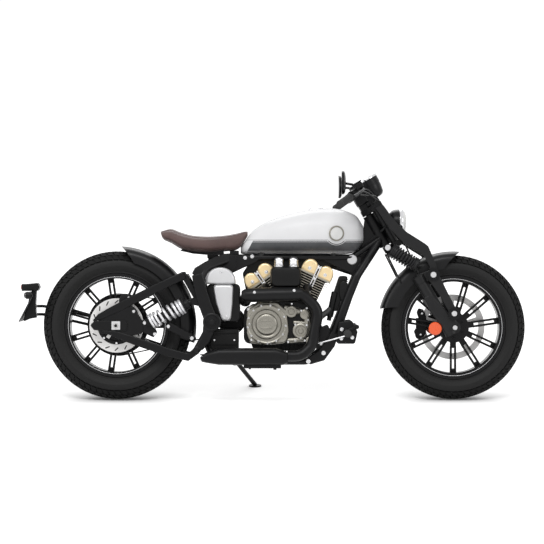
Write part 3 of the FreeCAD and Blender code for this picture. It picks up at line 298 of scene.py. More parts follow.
def socket_bolt(at, way, radius=5, height=5):
    at, way = Vector(at), Vector(way).normalized()
    return round_between(at, at + way, [(0, radius), (height - 1, radius), (height, radius - 1),
                                        (height, radius * 0.55), (height * 0.4, radius * 0.5)], 20)


# Materials
CLOUD_SCALE, SPECK_SCALE, CELL_SCALE, COAT_ROUGHNESS = 9.0, 260.0, 420.0, 0.06
M = {}


def set_plug(tree, plug, value):
    """Links another node's output to a plug, or gives the plug a value."""
    if isinstance(value, bpy.types.NodeSocket):
        tree.links.new(value, plug)
    else:
        plug.default_value = value


def node_of(tree, kind, plugs=None, **settings):
    """A new node. plugs holds its inputs by name or number."""
    node = tree.nodes.new(kind)
    for key, value in settings.items():
        setattr(node, key, value)
    for key, value in (plugs or {}).items():
        set_plug(tree, node.inputs[key], value)
    return node


def place_of(tree):
    return node_of(tree, "ShaderNodeTexCoord").outputs["Object"]


def maths_of(tree, operation, first, second=0.0):
    return node_of(tree, "ShaderNodeMath", {0: first, 1: second}, operation=operation).outputs[0]


def noise_of(tree, scale, detail=4.0, roughness=0.6):
    plugs = {"Vector": place_of(tree), "Scale": scale, "Detail": detail, "Roughness": roughness}
    return node_of(tree, "ShaderNodeTexNoise", plugs).outputs["Fac"]


def ramp_of(tree, source, low, high, from_low=0.3, from_high=0.7):
    plugs = {"Value": source, "From Min": from_low, "From Max": from_high, "To Min": low, "To Max": high}
    return node_of(tree, "ShaderNodeMapRange", plugs).outputs["Result"]


def mix_of(tree, share, first, second):
    """A colour between two, each given as a colour or as a node's output."""
    mix = node_of(tree, "ShaderNodeMix", data_type="RGBA")
    for name, kind, value in (("Factor", "VALUE", share), ("A", "RGBA", first), ("B", "RGBA", second)):
        plug = next(p for p in mix.inputs if p.name == name and p.type == kind)
        set_plug(tree, plug, (*value, 1) if isinstance(value, tuple) else value)
    return next(p for p in mix.outputs if p.type == "RGBA")


def shade(colour, share):
    return tuple(min(1, c * share) for c in colour)


def surface(name, colour, roughness, metallic=0.0, grain=0.02, bump=0.0, spread=0.12, rough_spread=0.25,
            coat=0.0, edge=0.0008, worn=0.0, specular=0.5):
    """A procedural surface in M: cloudy colour, uneven roughness, fine bump and softened edges.

    grain, bump and edge are lengths in metres; spread and worn are shares of the colour."""
    M[name] = bpy.data.materials.new(name)
    M[name].use_nodes = True
    tree = M[name].node_tree
    fine = noise_of(tree, 1 / grain, 6.0)
    tint = mix_of(tree, ramp_of(tree, noise_of(tree, CLOUD_SCALE), 0, 1), shade(colour, 1 - spread),
                  shade(colour, 1 + spread))
    if worn:
        speck = noise_of(tree, SPECK_SCALE, 8.0, 0.75)
        tint = mix_of(tree, ramp_of(tree, speck, 0, worn, 0.62, 0.72), tint, shade(colour, 2.2))
    uneven = ramp_of(tree, fine, roughness * (1 - rough_spread), min(1, roughness * (1 + rough_spread)))
    plugs = {"Base Color": tint, "Roughness": uneven, "Metallic": metallic, "Coat Weight": coat,
             "Coat Roughness": COAT_ROUGHNESS, "Specular IOR Level": specular}
    if edge:
        soft = node_of(tree, "ShaderNodeBevel", {"Radius": edge}, samples=4)
        plugs["Normal"] = soft.outputs["Normal"]
    if bump:
        raised = node_of(tree, "ShaderNodeBump", {"Height": fine, "Distance": bump, "Strength": 1.0})
        if edge:
            set_plug(tree, raised.inputs["Normal"], plugs["Normal"])
        plugs["Normal"] = raised.outputs["Normal"]
    for key, value in plugs.items():
        set_plug(tree, tree.nodes["Principled BSDF"].inputs[key], value)
    return tree


surface("frame_black", (0.006, 0.006, 0.0065), 0.34, 0.0, 0.0015, 0.00006, specular=0.18)
surface("beam_grey", (0.013, 0.013, 0.0135), 0.38, 0.1, 0.0015, 0.00006, specular=0.22)
surface("bar_black", (0.005, 0.005, 0.0055), 0.3, 0.0, 0.002, 0.00004, specular=0.18)
surface("spring_silver", (0.76, 0.76, 0.78), 0.3, 0.55, 0.01)
surface("spring_black", (0.010, 0.010, 0.011), 0.4, 0.0, 0.002, 0.00003, specular=0.22)
surface("engine_black", (0.008, 0.008, 0.0078), 0.42, 0.2, 0.002, 0.00015, specular=0.18)
surface("cover_alloy", (0.27, 0.258, 0.225), 0.3, 0.85, 0.002, 0.00012, worn=0.1)
surface("fin_alloy", (0.46, 0.43, 0.36), 0.4, 0.85, 0.003, 0.00005)
surface("head_bronze", (0.92, 0.72, 0.42), 0.3, 0.6, 0.02, spread=0.05, rough_spread=0.1)
surface("black_plastic", (0.005, 0.005, 0.005), 0.4, 0.0, 0.0012, 0.0001, specular=0.18)
surface("radiator_black", (0.008, 0.008, 0.008), 0.55, 0.1, 0.002, 0.0001, specular=0.18)
surface("chrome", (0.70, 0.70, 0.71), 0.07, 1.0, 0.01, spread=0.03)
surface("exhaust_black", (0.006, 0.006, 0.0065), 0.36, 0.0, 0.0015, 0.00004, specular=0.18)
surface("cover_silver", (0.66, 0.66, 0.67), 0.34, 0.3, 0.02, spread=0.02, rough_spread=0.05)
surface("fender_black", (0.006, 0.006, 0.0065), 0.34, 0.0, 0.003, specular=0.22)
surface("plate_blank", (0.03, 0.03, 0.03), 0.55, 0.0, 0.003, 0.00004)
surface("lamp_red", (0.30, 0.01, 0.008), 0.12, 0.0, 0.004, coat=1.0)
surface("caliper_black", (0.010, 0.010, 0.0105), 0.38, 0.2, 0.002, 0.00008, specular=0.18)
surface("bright_steel", (0.78, 0.77, 0.76), 0.34, 0.42, 0.003, 0.00002)
surface("belt_rubber", (0.016, 0.016, 0.016), 0.7, 0.0, 0.001, 0.0001)
surface("rim_black", (0.005, 0.005, 0.0055), 0.28, 0.0, 0.003, specular=0.18)
surface("tyre_rubber", (0.009, 0.009, 0.009), 0.6, 0.0, 0.0015, 0.00012, edge=0.0006, specular=0.22)
surface("tread_rubber", (0.007, 0.007, 0.007), 0.75, 0.0, 0.0015, 0.0002, edge=0.0006, specular=0.18)
surface("grip_rubber", (0.018, 0.018, 0.018), 0.75, 0.0, 0.001, 0.0001)
surface("zinc", (0.72, 0.72, 0.73), 0.25, 1.0, 0.003, edge=0.0004)
surface("orange", (0.88, 0.11, 0.02), 0.3, 0.0, 0.004, coat=0.6, spread=0.05)
surface("mirror_glass", (0.32, 0.33, 0.34), 0.06, 1.0, 0.01, spread=0.01)
surface("hose", (0.014, 0.014, 0.014), 0.5, 0.0, 0.0012, 0.00006)
surface("lens_white", (0.86, 0.86, 0.84), 0.1, 0.0, 0.01, coat=0.6, spread=0.03)
surface("dial_black", (0.012, 0.012, 0.013), 0.2, 0.0, 0.01, coat=0.8)
surface("plate_white", (0.75, 0.75, 0.74), 0.5, 0.0, 0.005)


def leather(name, colour):
    tree = surface(name, colour, 0.46, 0.0, 0.0028, 0.0, 0.16, 0.2, edge=0, specular=0.4)
    shader = tree.nodes["Principled BSDF"]
    cells = node_of(tree, "ShaderNodeTexVoronoi", {"Vector": place_of(tree), "Scale": CELL_SCALE},
                    feature="DISTANCE_TO_EDGE")
    height = ramp_of(tree, cells.outputs["Distance"], 0, 1, 0.0, 0.12)
    raised = node_of(tree, "ShaderNodeBump", {"Height": height, "Strength": 0.55, "Distance": 0.0004})
    set_plug(tree, shader.inputs["Normal"], raised.outputs["Normal"])
    shader.inputs["Sheen Weight"].default_value = 0.12


leather("seat_leather", (0.092, 0.054, 0.049))
surface("seat_thread", (0.09, 0.055, 0.05), 0.7, 0, 0.001, 0.0001, edge=0)

TANK_X, TANK_Z, TANK_LENGTH, TANK_HEIGHT, TANK_HALF = 547.8, 643.9, 544.2, 202.5, 140.0
BADGE_X, BADGE_Z, BADGE_RADIUS, BADGE_CLEAR = 970.8, 735.0, 34.0, 12.0
BAND_LOW, BAND_HIGH, BAND_START, BAND_SLANT = 652.0, 703.0, 575.0, 0.55


def tank_paint():
    """Gloss white with a grey band, white lines at its edges, and a halo round the badge."""
    tree = surface("tank_white", (0.80, 0.80, 0.81), 0.28, 0.0, 0.02, 0.0, 0.02, 0.05, coat=0.04, edge=0,
                   specular=0.1)
    plug = tree.nodes["Principled BSDF"].inputs["Base Color"]
    white = plug.links[0].from_socket
    place = place_of(tree)

    def maths(operation, first, second=0.0):
        return maths_of(tree, operation, first, second)

    def along(axis):
        """Metres along an axis from the floor under the rear axle."""
        dot = node_of(tree, "ShaderNodeVectorMath", {0: place, 1: axis}, operation="DOT_PRODUCT")
        return maths("SUBTRACT", dot.outputs["Value"], axis.dot(UPRIGHT.translation))

    def over(value, limit):
        return maths("GREATER_THAN", value, limit * MM)

    def near(value, at, reach):
        return maths("LESS_THAN", maths("ABSOLUTE", maths("SUBTRACT", value, at * MM)), reach * MM)

    def both_of(first, second):
        return maths("MULTIPLY", first, second)

    height, length = along(above), along(ahead)
    off_x, off_z = maths("SUBTRACT", length, BADGE_X * MM), maths("SUBTRACT", height, BADGE_Z * MM)
    off = maths("SQRT", maths("ADD", maths("MULTIPLY", off_x, off_x), maths("MULTIPLY", off_z, off_z)))
    outside = over(off, BADGE_RADIUS + BADGE_CLEAR)
    slanted = maths("SUBTRACT", length, maths("MULTIPLY", height, BAND_SLANT))
    in_band = both_of(maths("LESS_THAN", height, BAND_HIGH * MM), over(height, BAND_LOW))
    in_band = both_of(in_band, over(slanted, BAND_START - BAND_SLANT * BAND_LOW))
    band = both_of(in_band, outside)
    high_line = both_of(near(height, BAND_HIGH - 5, 1.0), over(off, BADGE_RADIUS + 18))
    halo = both_of(near(off, BADGE_RADIUS + 17, 1.2), in_band)
    lines = maths("ADD", maths("ADD", high_line, near(height, BAND_LOW + 5, 1.0)), halo)
    rim = both_of(near(height, BAND_HIGH + 4, 0.9), outside)
    grey = mix_of(tree, ramp_of(tree, noise_of(tree, 6.0), 0, 1), (0.085, 0.087, 0.092), (0.13, 0.132, 0.138))
    colour = mix_of(tree, band, white, grey)
    colour = mix_of(tree, both_of(maths("MINIMUM", lines, 1.0), band), colour, (0.75, 0.75, 0.76))
    set_plug(tree, plug, mix_of(tree, rim, colour, (0.35, 0.355, 0.36)))


tank_paint()


# Pieces
MERGE_DISTANCE = 1e-6
SMOOTH_ANGLE, BEVELLED_SMOOTH_ANGLE = 38, 60


def piece(name, shape, material, place=UPRIGHT, body="frame", bevel=0.0, segments=2, angle=35, smooth=True,
        replaces=()):
    """A mesh piece of the bike, riding on a body. replaces names the CAD nodes that it stands for."""
    mesh = bpy.data.meshes.new(name)
    mesh.from_pydata([place @ (v * MM) for v in shape.verts], [], shape.faces)
    mesh.update()
    work = bmesh.new()
    work.from_mesh(mesh)
    bmesh.ops.remove_doubles(work, verts=work.verts, dist=MERGE_DISTANCE)
    bmesh.ops.recalc_face_normals(work, faces=work.faces)
    work.to_mesh(mesh)
    work.free()
    made = bpy.data.objects.new(name, mesh)
    bpy.context.scene.collection.objects.link(made)
    mesh.materials.append(M[material])
    if bevel:
        step = made.modifiers.new("bevel", "BEVEL")
        step.width = bevel * MM
        step.segments = segments
        step.limit_method = "ANGLE"
        step.angle_limit = math.radians(angle)
    if smooth:
        for polygon in mesh.polygons:
            polygon.use_smooth = True
        mesh.set_sharp_from_angle(angle=math.radians(BEVELLED_SMOOTH_ANGLE if bevel else SMOOTH_ANGLE))
    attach(made, body)
    if replaces:
        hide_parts(*replaces)
    return made


def outline_prism(points, radius, y_low, y_high, steps=4):
    """A plate with rounded corners."""
    return prism(rounded_outline(points, radius, steps), y_low, y_high)


def bolts(kind, places, radius, height, side=-1):
    """Bolts at places (x, y, z), with heads that face right, or left where side is 1."""
    return joined([kind(at, (0, side, 0), radius, height) for at in places])


def round_places(count, radius, turned=0.0):
    """Places (x, z) spread evenly on a circle."""
    turns = [2 * math.pi * k / count + turned for k in range(count)]
    return [(radius * math.sin(a), radius * math.cos(a)) for a in turns]


# Wheels: carcass and tread blocks, whose rows are given by angles on the tyre's crown
TREAD_ROWS = ((-58, -41), (-38, -24), (-21, -8), (-5, 5), (8, 21), (24, 38), (41, 58))
TREAD_COUNT, TREAD_EDGE, TREAD_END, TREAD_DEPTH, TREAD_SKEW = 68, 58, 60, 6, 0.9
TREAD_PITCH = 2 * math.pi / TREAD_COUNT
BLOCK_FACES = ((4, 5, 6, 7), (0, 1, 5, 4), (1, 2, 6, 5), (2, 3, 7, 6), (3, 0, 4, 7))


def tyre(name, radius, half, rim_width, place, body):
    rise = (radius - RIM_SEAT) * 0.55
    crown = (half * half + rise * rise) / (2 * rise)
    reach = math.asin(half / crown)
    bead = rim_width / 2 - 5.3
    end = math.radians(TREAD_END)

    def at(phi, drop=0.0):
        return (crown - drop) * math.sin(phi), radius - crown + (crown - drop) * math.cos(phi)

    side = [(bead, RIM_SEAT + 0.4), (bead + 0.2, RIM_FLANGE + 0.6), (bead + 3.5, RIM_FLANGE + 3),
        (bead + 4.2, RIM_FLANGE + 6), (bead + 3.2, RIM_FLANGE + 8), (bead + 8, RIM_FLANGE + 15),
        (half - 4.2, radius - rise - 6), (half - 2.4, radius - rise - 2), (half - 2.8, radius - rise),
        at(reach * 0.93, 1.4), at(reach * 0.86, 0.6), at(end * 1.06, 0.6), at(end, TREAD_DEPTH)]
    crown_line = [at(end * (1 - k / 6), TREAD_DEPTH) for k in range(1, 12)]
    profile = side + crown_line + [(-y, r) for y, r in reversed(side)]
    piece(name, lathe(profile, 144, closed=True), "tyre_rubber", place, body, replaces=(name,))
    blocks = []
    for row, (low, high) in enumerate(TREAD_ROWS):
        for k in range(TREAD_COUNT):
            top, foot = [], []
            for phi, sign in ((low, -1), (low, 1), (high, 1), (high, -1)):
                middle = (k + row % 2 / 2 + abs(phi) / TREAD_EDGE * TREAD_SKEW) * TREAD_PITCH
                for drop, ring, width in ((0.4, top, 0.37), (TREAD_DEPTH + 0.5, foot, 0.43)):
                    y, r = at(math.radians(phi), drop)
                    a = middle + sign * width * TREAD_PITCH
                    ring.append(Vector((r * math.sin(a), y, r * math.cos(a))))
            blocks.append(Shape(foot + top, BLOCK_FACES))
    piece(name + "_tread", joined(blocks), "tread_rubber", place, body, smooth=False)


tyre("front_tyre", FRONT_TYRE_RADIUS, 65.0, 106.0, FRONT, "front_wheel")
tyre("rear_tyre", REAR_TYRE_RADIUS, 75.0, 122.0, REAR, "rear_wheel")

# Covers and bolts on the front hub
HUB_FACE, HUB_PROFILE = 48.2, ((0, 30), (3, 30), (4, 28), (4, 15), (1, 14))
for name, side, ring_radius, turned in (("right", -1, 44, 0), ("left", 1, 34, math.pi / 6)):
    cap = lathe([((HUB_FACE + out) * side, r) for out, r in HUB_PROFILE], 40)
    piece(f"front_hub_{name}_seal", cap, "rim_black", FRONT, "front_wheel")
    places = [(x, HUB_FACE * side, z) for x, z in round_places(6, ring_radius, turned)]
    piece(f"front_hub_{name}_bolts", bolts(socket_bolt, places, 5, 6, side), "caliper_black", FRONT,
        "front_wheel")

# Spokes: each of a pair gets a thicker rim, and the slot closes short of the wheel's rim
SPOKE_PAIRS, SLOT_HALF, SPOKE_HALF, SPOKE_DEPTH = 11, 4.8, 14.4, 12.0
SLOT_START, SLOT_SHORT, RIM_OVERLAP = 85.0, 18.0, 2.0
# Profile of a thin bright ring on each rim's lip: a painted highlight
RIM_HIGHLIGHT_PROFILE = ((0, 213.6), (0.8, 214), (0.8, 215.4), (0, 215.8))
for name, first, rim_inner, rim_half, place in (("front", 180, 202, 53, FRONT), ("rear", 188, 207, 61, REAR)):
    end = rim_inner + RIM_OVERLAP
    arm = joined([block((low, -SPOKE_DEPTH, SLOT_START), (high, SPOKE_DEPTH, end))
        for low, high in ((SLOT_HALF, SPOKE_HALF), (-SPOKE_HALF, -SLOT_HALF))])
    arm += block((-SLOT_HALF, 1 - SPOKE_DEPTH, rim_inner - SLOT_SHORT), (SLOT_HALF, SPOKE_DEPTH - 1, end))
    # A bright ring on both sides of the black rim's lip: a painted highlight where the lip catches the light
    rim_highlight_ring = lathe([(rim_half + out, r) for out, r in RIM_HIGHLIGHT_PROFILE], 96, closed=True)
    piece(f"{name}_rim_painted_highlights", rim_highlight_ring.both(), "zinc", place, f"{name}_wheel")
    piece(f"{name}_spoke_edges", joined([arm.moved(turn_y(first + 360 * k / SPOKE_PAIRS))
        for k in range(SPOKE_PAIRS)]), "rim_black", place, f"{name}_wheel", bevel=2)


# Springs: the rear shock on the right, and the fork's pair
SHOCK_PROFILE = ((8, 12), (10, 15), (30, 15), (31, 33), (38, 33), (39, 17), (120, 17), (121, 12), (176, 12),
    (177, 33), (186, 33), (188, 24), (206, 24), (208, 16), (218, 14))
piece("rear_shock_coil", coil((147, -130, 343.5), (302, -130, 419), 36, 6.0, 9.0), "spring_silver")
piece("rear_shock_body", round_between((135, -130, 337.5), (345, -130, 439.8), SHOCK_PROFILE)
    + rod((166, -130, 335), (166, -130, 369), 13), "caliper_black", replaces=("rear_shock",))
piece("rear_shock_eyes", rod((146, -142, 343), (146, -118, 343), 14) + rod((342, -148, 438),
    (342, -126, 438), 14), "caliper_black")
SPRING_ENDS = (5, 125, -179), (70, 125, -300)
CORE_PROFILE = ((0, 14), (1, 26), (7, 26), (8, 17), (70, 17), (71, 12), (128, 12), (129, 26), (136, 26),
    (137, 14))
piece("front_spring_coils", coil(*SPRING_ENDS, 30, 4.6, 12.0).both(), "spring_black", FORK, "fork",
    replaces=("front_springs",))
piece("front_spring_cores", round_between(*SPRING_ENDS, CORE_PROFILE).both(), "caliper_black", FORK, "fork")


# Fenders: rounded sheets whose ends are cut on a slant
FENDER_EDGE = ((0.955, 24), (0.87, 15), (0.74, 8.5), (0.55, 4.2), (0.3, 1.2))


def fender_sheet(radius, half, skirt, start, end, start_slant, end_slant, thick=3.0, steps=40):
    side = [(half, radius - skirt), (half + 0.4, radius - 44), (half, radius - 34)]
    side += [(half * share, radius - drop) for share, drop in FENDER_EDGE]
    outer = side + [(0.0, radius)] + [(-y, r) for y, r in reversed(side)]
    inner = [(y * (1 - thick / half), r - (thick if r > radius - skirt else 0)) for y, r in reversed(outer)]
    rings = []
    for k in range(steps + 1):
        ring = []
        for y, r in outer + inner:
            drop = (radius - r) / skirt
            first, last = start + start_slant * drop, end + end_slant * drop
            a = math.radians(first + (last - first) * k / steps)
            ring.append(Vector((r * math.sin(a), y, r * math.cos(a))))
        rings.append(ring)
    return loft(rings)


piece("rear_fender", fender_sheet(351, 84, 66, 3, 103, 13, -2), "fender_black", REAR,
    replaces=("rear_fender",))
piece("front_fender", fender_sheet(337, 77, 75, -76, 5, 6, -15), "fender_black", FRONT, "fork",
    replaces=("front_fender",))
piece("rear_fender_mounts", (rod((268, 60, 548), (312, 60, 534), 9, 2) + rod((330, 112, 300), (342, 84, 262),
    7, 2)).both(), "frame_black")
piece("front_fender_mounts", joined([rod((x, 74, z), (x, 92, z), 10, 2)
    for x, z in ((1322, 576), (1350, 528))]).both(), "beam_grey", body="fork")
piece("front_fender_stays", rod((1194, 96, 645), (1258, 77, 516), 3.6).both(), "bar_black", body="fork")


# Fuel tank, cap and badge. Stations hold length, width, bottom and top as shares of the tank's sizes
TANK_STATIONS = ((0.0, 0.10, 0.02, 0.20), (0.03, 0.36, 0.0, 0.27), (0.1, 0.58, 0.0, 0.52),
    (0.2, 0.74, 0.0, 0.70), (0.35, 0.88, 0.0, 0.85), (0.5, 0.97, 0.0, 0.95), (0.65, 1.0, 0.0, 1.0),
    (0.78, 0.96, 0.0, 1.0), (0.88, 0.84, 0.01, 0.93), (0.95, 0.66, 0.08, 0.83), (1.0, 0.26, 0.26, 0.62))
TANK_POWER = 0.8
tank_rows = stations_smoothed(TANK_STATIONS, 6)
tank_rings = [ring_of(TANK_X + TANK_LENGTH * a, TANK_HALF * w, TANK_Z + TANK_HEIGHT * low,
    TANK_Z + TANK_HEIGHT * high, TANK_POWER, 64) for a, w, low, high in tank_rows]
piece("fuel_tank", loft(tank_rings), "tank_white", replaces=("fuel_tank",))
cap_place = Matrix.Translation((TANK_X + TANK_LENGTH * 0.62, 0, TANK_Z + TANK_HEIGHT - 5))
piece("filler_cap", lathe([(0, 36), (2, 36), (3.5, 34), (4, 31), (7, 30), (9, 27), (10, 20), (10.5, 0.5)],
    56).moved(cap_place @ Matrix.Rotation(math.radians(90), 4, "X")), "chrome", replaces=("filler_cap",))


def tank_side(x, z):
    """The tank's half width at a place on its side."""
    share = (x - TANK_X) / TANK_LENGTH
    nearest = min(tank_rows, key=lambda row: abs(row[0] - share))
    low, high = TANK_Z + TANK_HEIGHT * nearest[2], TANK_Z + TANK_HEIGHT * nearest[3]
    up = max(-0.999, min(0.999, (z - (low + high) / 2) / ((high - low) / 2)))
    t = math.asin(math.copysign(abs(up) ** (1 / TANK_POWER), up))
    return TANK_HALF * nearest[1] * abs(math.cos(t)) ** TANK_POWER


badge_place = (Matrix.Translation((BADGE_X, tank_side(BADGE_X, BADGE_Z) + 0.5, BADGE_Z))
    @ Matrix.Rotation(math.radians(-9), 4, "Z") @ Matrix.Rotation(math.radians(-7), 4, "X"))
BADGE_RING = ((-6, 34), (2, 34), (4, 32), (4, 29), (2.5, 28), (3.5, 18), (4, 0.5))
BADGE_DISC = ((2.6, 27.5), (4.4, 26.5), (5, 18), (5.2, 0.5))
piece("tank_badges", lathe(BADGE_RING, 48).moved(badge_place).both(), "cover_alloy")
piece("badge_discs", lathe(BADGE_DISC, 48).moved(badge_place).both(), "plate_white")


# Seat. Stations hold length, width, bottom and top as shares of the seat's sizes
SEAT_STATIONS = ((0.0, 0.72, 0.78, 0.88), (0.03, 0.84, 0.56, 0.93), (0.13, 0.97, 0.40, 1.0),
    (0.25, 1.0, 0.17, 0.86), (0.4, 0.98, 0.05, 0.73), (0.6, 0.86, 0.0, 0.69), (0.8, 0.66, 0.06, 0.73),
    (0.93, 0.54, 0.1, 0.80), (1.0, 0.47, 0.22, 0.85), (1.05, 0.43, 0.44, 0.89), (1.1, 0.38, 0.70, 0.90))
SEAT_X, SEAT_Z, SEAT_LENGTH, SEAT_HEIGHT, SEAT_HALF, SEAT_POWER = 195.8, 649.7, 348.0, 106.4, 128.0, 0.72
PIPING_POINTS = (7, 21)
seat_rings = [ring_of(SEAT_X + SEAT_LENGTH * a, SEAT_HALF * w, SEAT_Z + SEAT_HEIGHT * low,
    SEAT_Z + SEAT_HEIGHT * high, SEAT_POWER, 56) for a, w, low, high in stations_smoothed(SEAT_STATIONS, 6)]
seat = piece("seat", loft(seat_rings), "seat_leather", replaces=("seat",))
piping = joined([sweep([ring[k] + Vector((0, 0, 0.3)) for ring in seat_rings[2:-2]], 1.6, 8)
    for k in PIPING_POINTS])
piece("seat_piping", piping, "seat_thread")
piece("seat_base", outline_prism([(286, 661), (335, 649), (405, 643.5), (472, 643.5), (474, 668), (405, 664),
    (335, 668), (292, 680)], 5, -62, 62), "frame_black", bevel=3)


# Engine: crankcase and right covers, whose outlines are given as distances from the crankshaft
CRANK_X, CRANK_Z = 780.0, 335.0
CLUTCH_X, CLUTCH_Z = 663.5, 335.1
CASE_FACE = 96.3
PIVOT_X, PIVOT_Z = 423.2, 345.8


def engine_outline(points, radius, steps=4):
    return rounded_outline([(CRANK_X + dx, CRANK_Z + dz) for dx, dz in points], radius, steps)


def disc_at(x, z, profile, sides=56):
    return lathe(profile, sides).shifted(x, 0, z)


case = engine_outline([(-218, -87), (83, -87), (110, -40), (105, 60), (40, 105), (-120, 105), (-218, 70)],
    34, 6)
piece("crankcase", prism(case, -95.8, 95.8), "engine_black", bevel=3, replaces=("crankcase",))
pan_ribs = joined([block((x, -66, 212), (x + 5, 66, 250)) for x in range(620, 850, 18)])
piece("oil_pan", outline_prism([(590, 254), (608, 216), (856, 216), (884, 254)], 12, -60, 60) + pan_ribs,
    "engine_black", bevel=1.5)
piece("wiring_tray", outline_prism([(574, 468), (556, 560), (596, 620), (900, 622), (964, 606), (900, 520),
    (800, 420), (640, 425)], 20, -36, 36), "black_plastic", bevel=5, segments=3)
right_plate = engine_outline([(-200, -60), (-170, -87), (70, -87), (96, -50), (100, 20), (66, 84), (20, 100),
    (-150, 104), (-206, 60)], 30, 8)
piece("engine_right_back", prism(right_plate, -CASE_FACE, -103), "engine_black", bevel=3,
    replaces=("engine_covers",))
right_cover = engine_outline([(-206, -40), (-190, -86), (-96, -90), (-28, -84), (-18, -30), (-28, 60),
    (-70, 100), (-150, 98), (-204, 62)], 34, 8)
piece("engine_right_cover", pillow(right_cover, -102, -118.5, 7, 4), "cover_alloy")
WEBS = (((-40, 78), (40, 52), 30), ((-26, -72), (58, -66), 24), ((58, 46), (70, -56), 28),
    ((0, 8), (62, 4), 20))
WEB_PROFILE = ((0, 0.3), (3, 0.45), (12, 0.5), (70, 0.5), (76, 0.4))
webs = joined([round_between((a, -103, b), (c, -103, d), [(t, width * share) for t, share in WEB_PROFILE],
    20) for (a, b), (c, d), width in WEBS])
piece("engine_cover_webs", webs.shifted(CRANK_X, 0, CRANK_Z), "cover_alloy")
piece("engine_clutch_cover", disc_at(CLUTCH_X, CLUTCH_Z, [(-116, 90), (-121, 89), (-123, 84), (-120, 80),
    (-119, 72), (-120, 67), (-128, 65), (-132, 62), (-133, 56), (-131, 53), (-131, 49), (-137, 46),
    (-140, 42), (-140.5, 30), (-140.5, 0.5)]), "cover_alloy")
bars = joined([block((-27, -143.4, z - 3), (27, -139, z + 3)) for z in (-17, 17)])
piece("engine_clutch_bars", bars.shifted(CLUTCH_X, 0, CLUTCH_Z), "cover_alloy", bevel=1.5)
SMALL_COVERS = ((34, -30, 40, ((-102, 36), (-116, 35), (-119, 31), (-119, 24), (-115, 22), (-115, 12),
    (-122, 10), (-122, 0.5))), (-8, 56, 32, ((-102, 27), (-118, 26), (-121, 22), (-121, 14), (-127, 12),
    (-127, 0.5))), (54, 44, 32, ((-102, 24), (-113, 23), (-116, 18), (-116, 0.5))),
    (-172, 66, 32, ((-102, 24), (-112, 23), (-115, 18), (-115, 0.5))),
    (72, -72, 32, ((-102, 17), (-112, 16), (-114, 12), (-114, 0.5))))
piece("engine_side_discs", joined([disc_at(CRANK_X + dx, CRANK_Z + dz, profile, sides)
    for dx, dz, sides, profile in SMALL_COVERS]), "cover_alloy")
cover_places = [(CLUTCH_X + x, -120.5, CLUTCH_Z + z) for x, z in round_places(13, 84, 0.2)]
cover_places += [(CRANK_X + dx, -y, CRANK_Z + dz) for dx, dz, y in ((-22, -78, 112), (10, -72, 112),
    (52, -72, 112), (72, -72, 114), (84, -20, 106), (66, 18, 112), (10, -2, 112), (36, 60, 112),
    (-6, 90, 106), (60, 70, 106), (34, -60, 115), (60, -4, 115), (-170, 66, 114), (-192, 0, 117),
    (-184, -70, 117), (-100, -82, 117))]
piece("engine_cover_bolts", bolts(socket_bolt, cover_places, 5, 5), "zinc")

# Engine: left covers and belt cover
left_plate = engine_outline([(-100, -87), (83, -87), (100, -30), (60, 90), (-80, 90), (-108, 30)], 20)
piece("engine_left_cover", prism(left_plate, CASE_FACE, 114), "engine_black", bevel=3, segments=3)
piece("engine_alternator_cover", disc_at(CRANK_X, CRANK_Z, [(113, 71), (128, 71), (134, 66), (136, 58),
    (134, 54), (134, 44), (140, 40), (140.8, 0.5)]), "cover_alloy")
left_places = [(CRANK_X + x * 82 / 78 * 0.98, 113.6, CRANK_Z + z) for x, z in round_places(10, 78, 0.3)]
piece("engine_left_bolts", bolts(socket_bolt, left_places, 4.6, 6, 1), "zinc")
piece("pulley_cover", disc_at(PIVOT_X + 82, PIVOT_Z, [(114, 62), (119, 62), (120, 60), (120, 40), (118, 38),
    (118, 12), (120, 10), (120, 0.5)]), "frame_black")

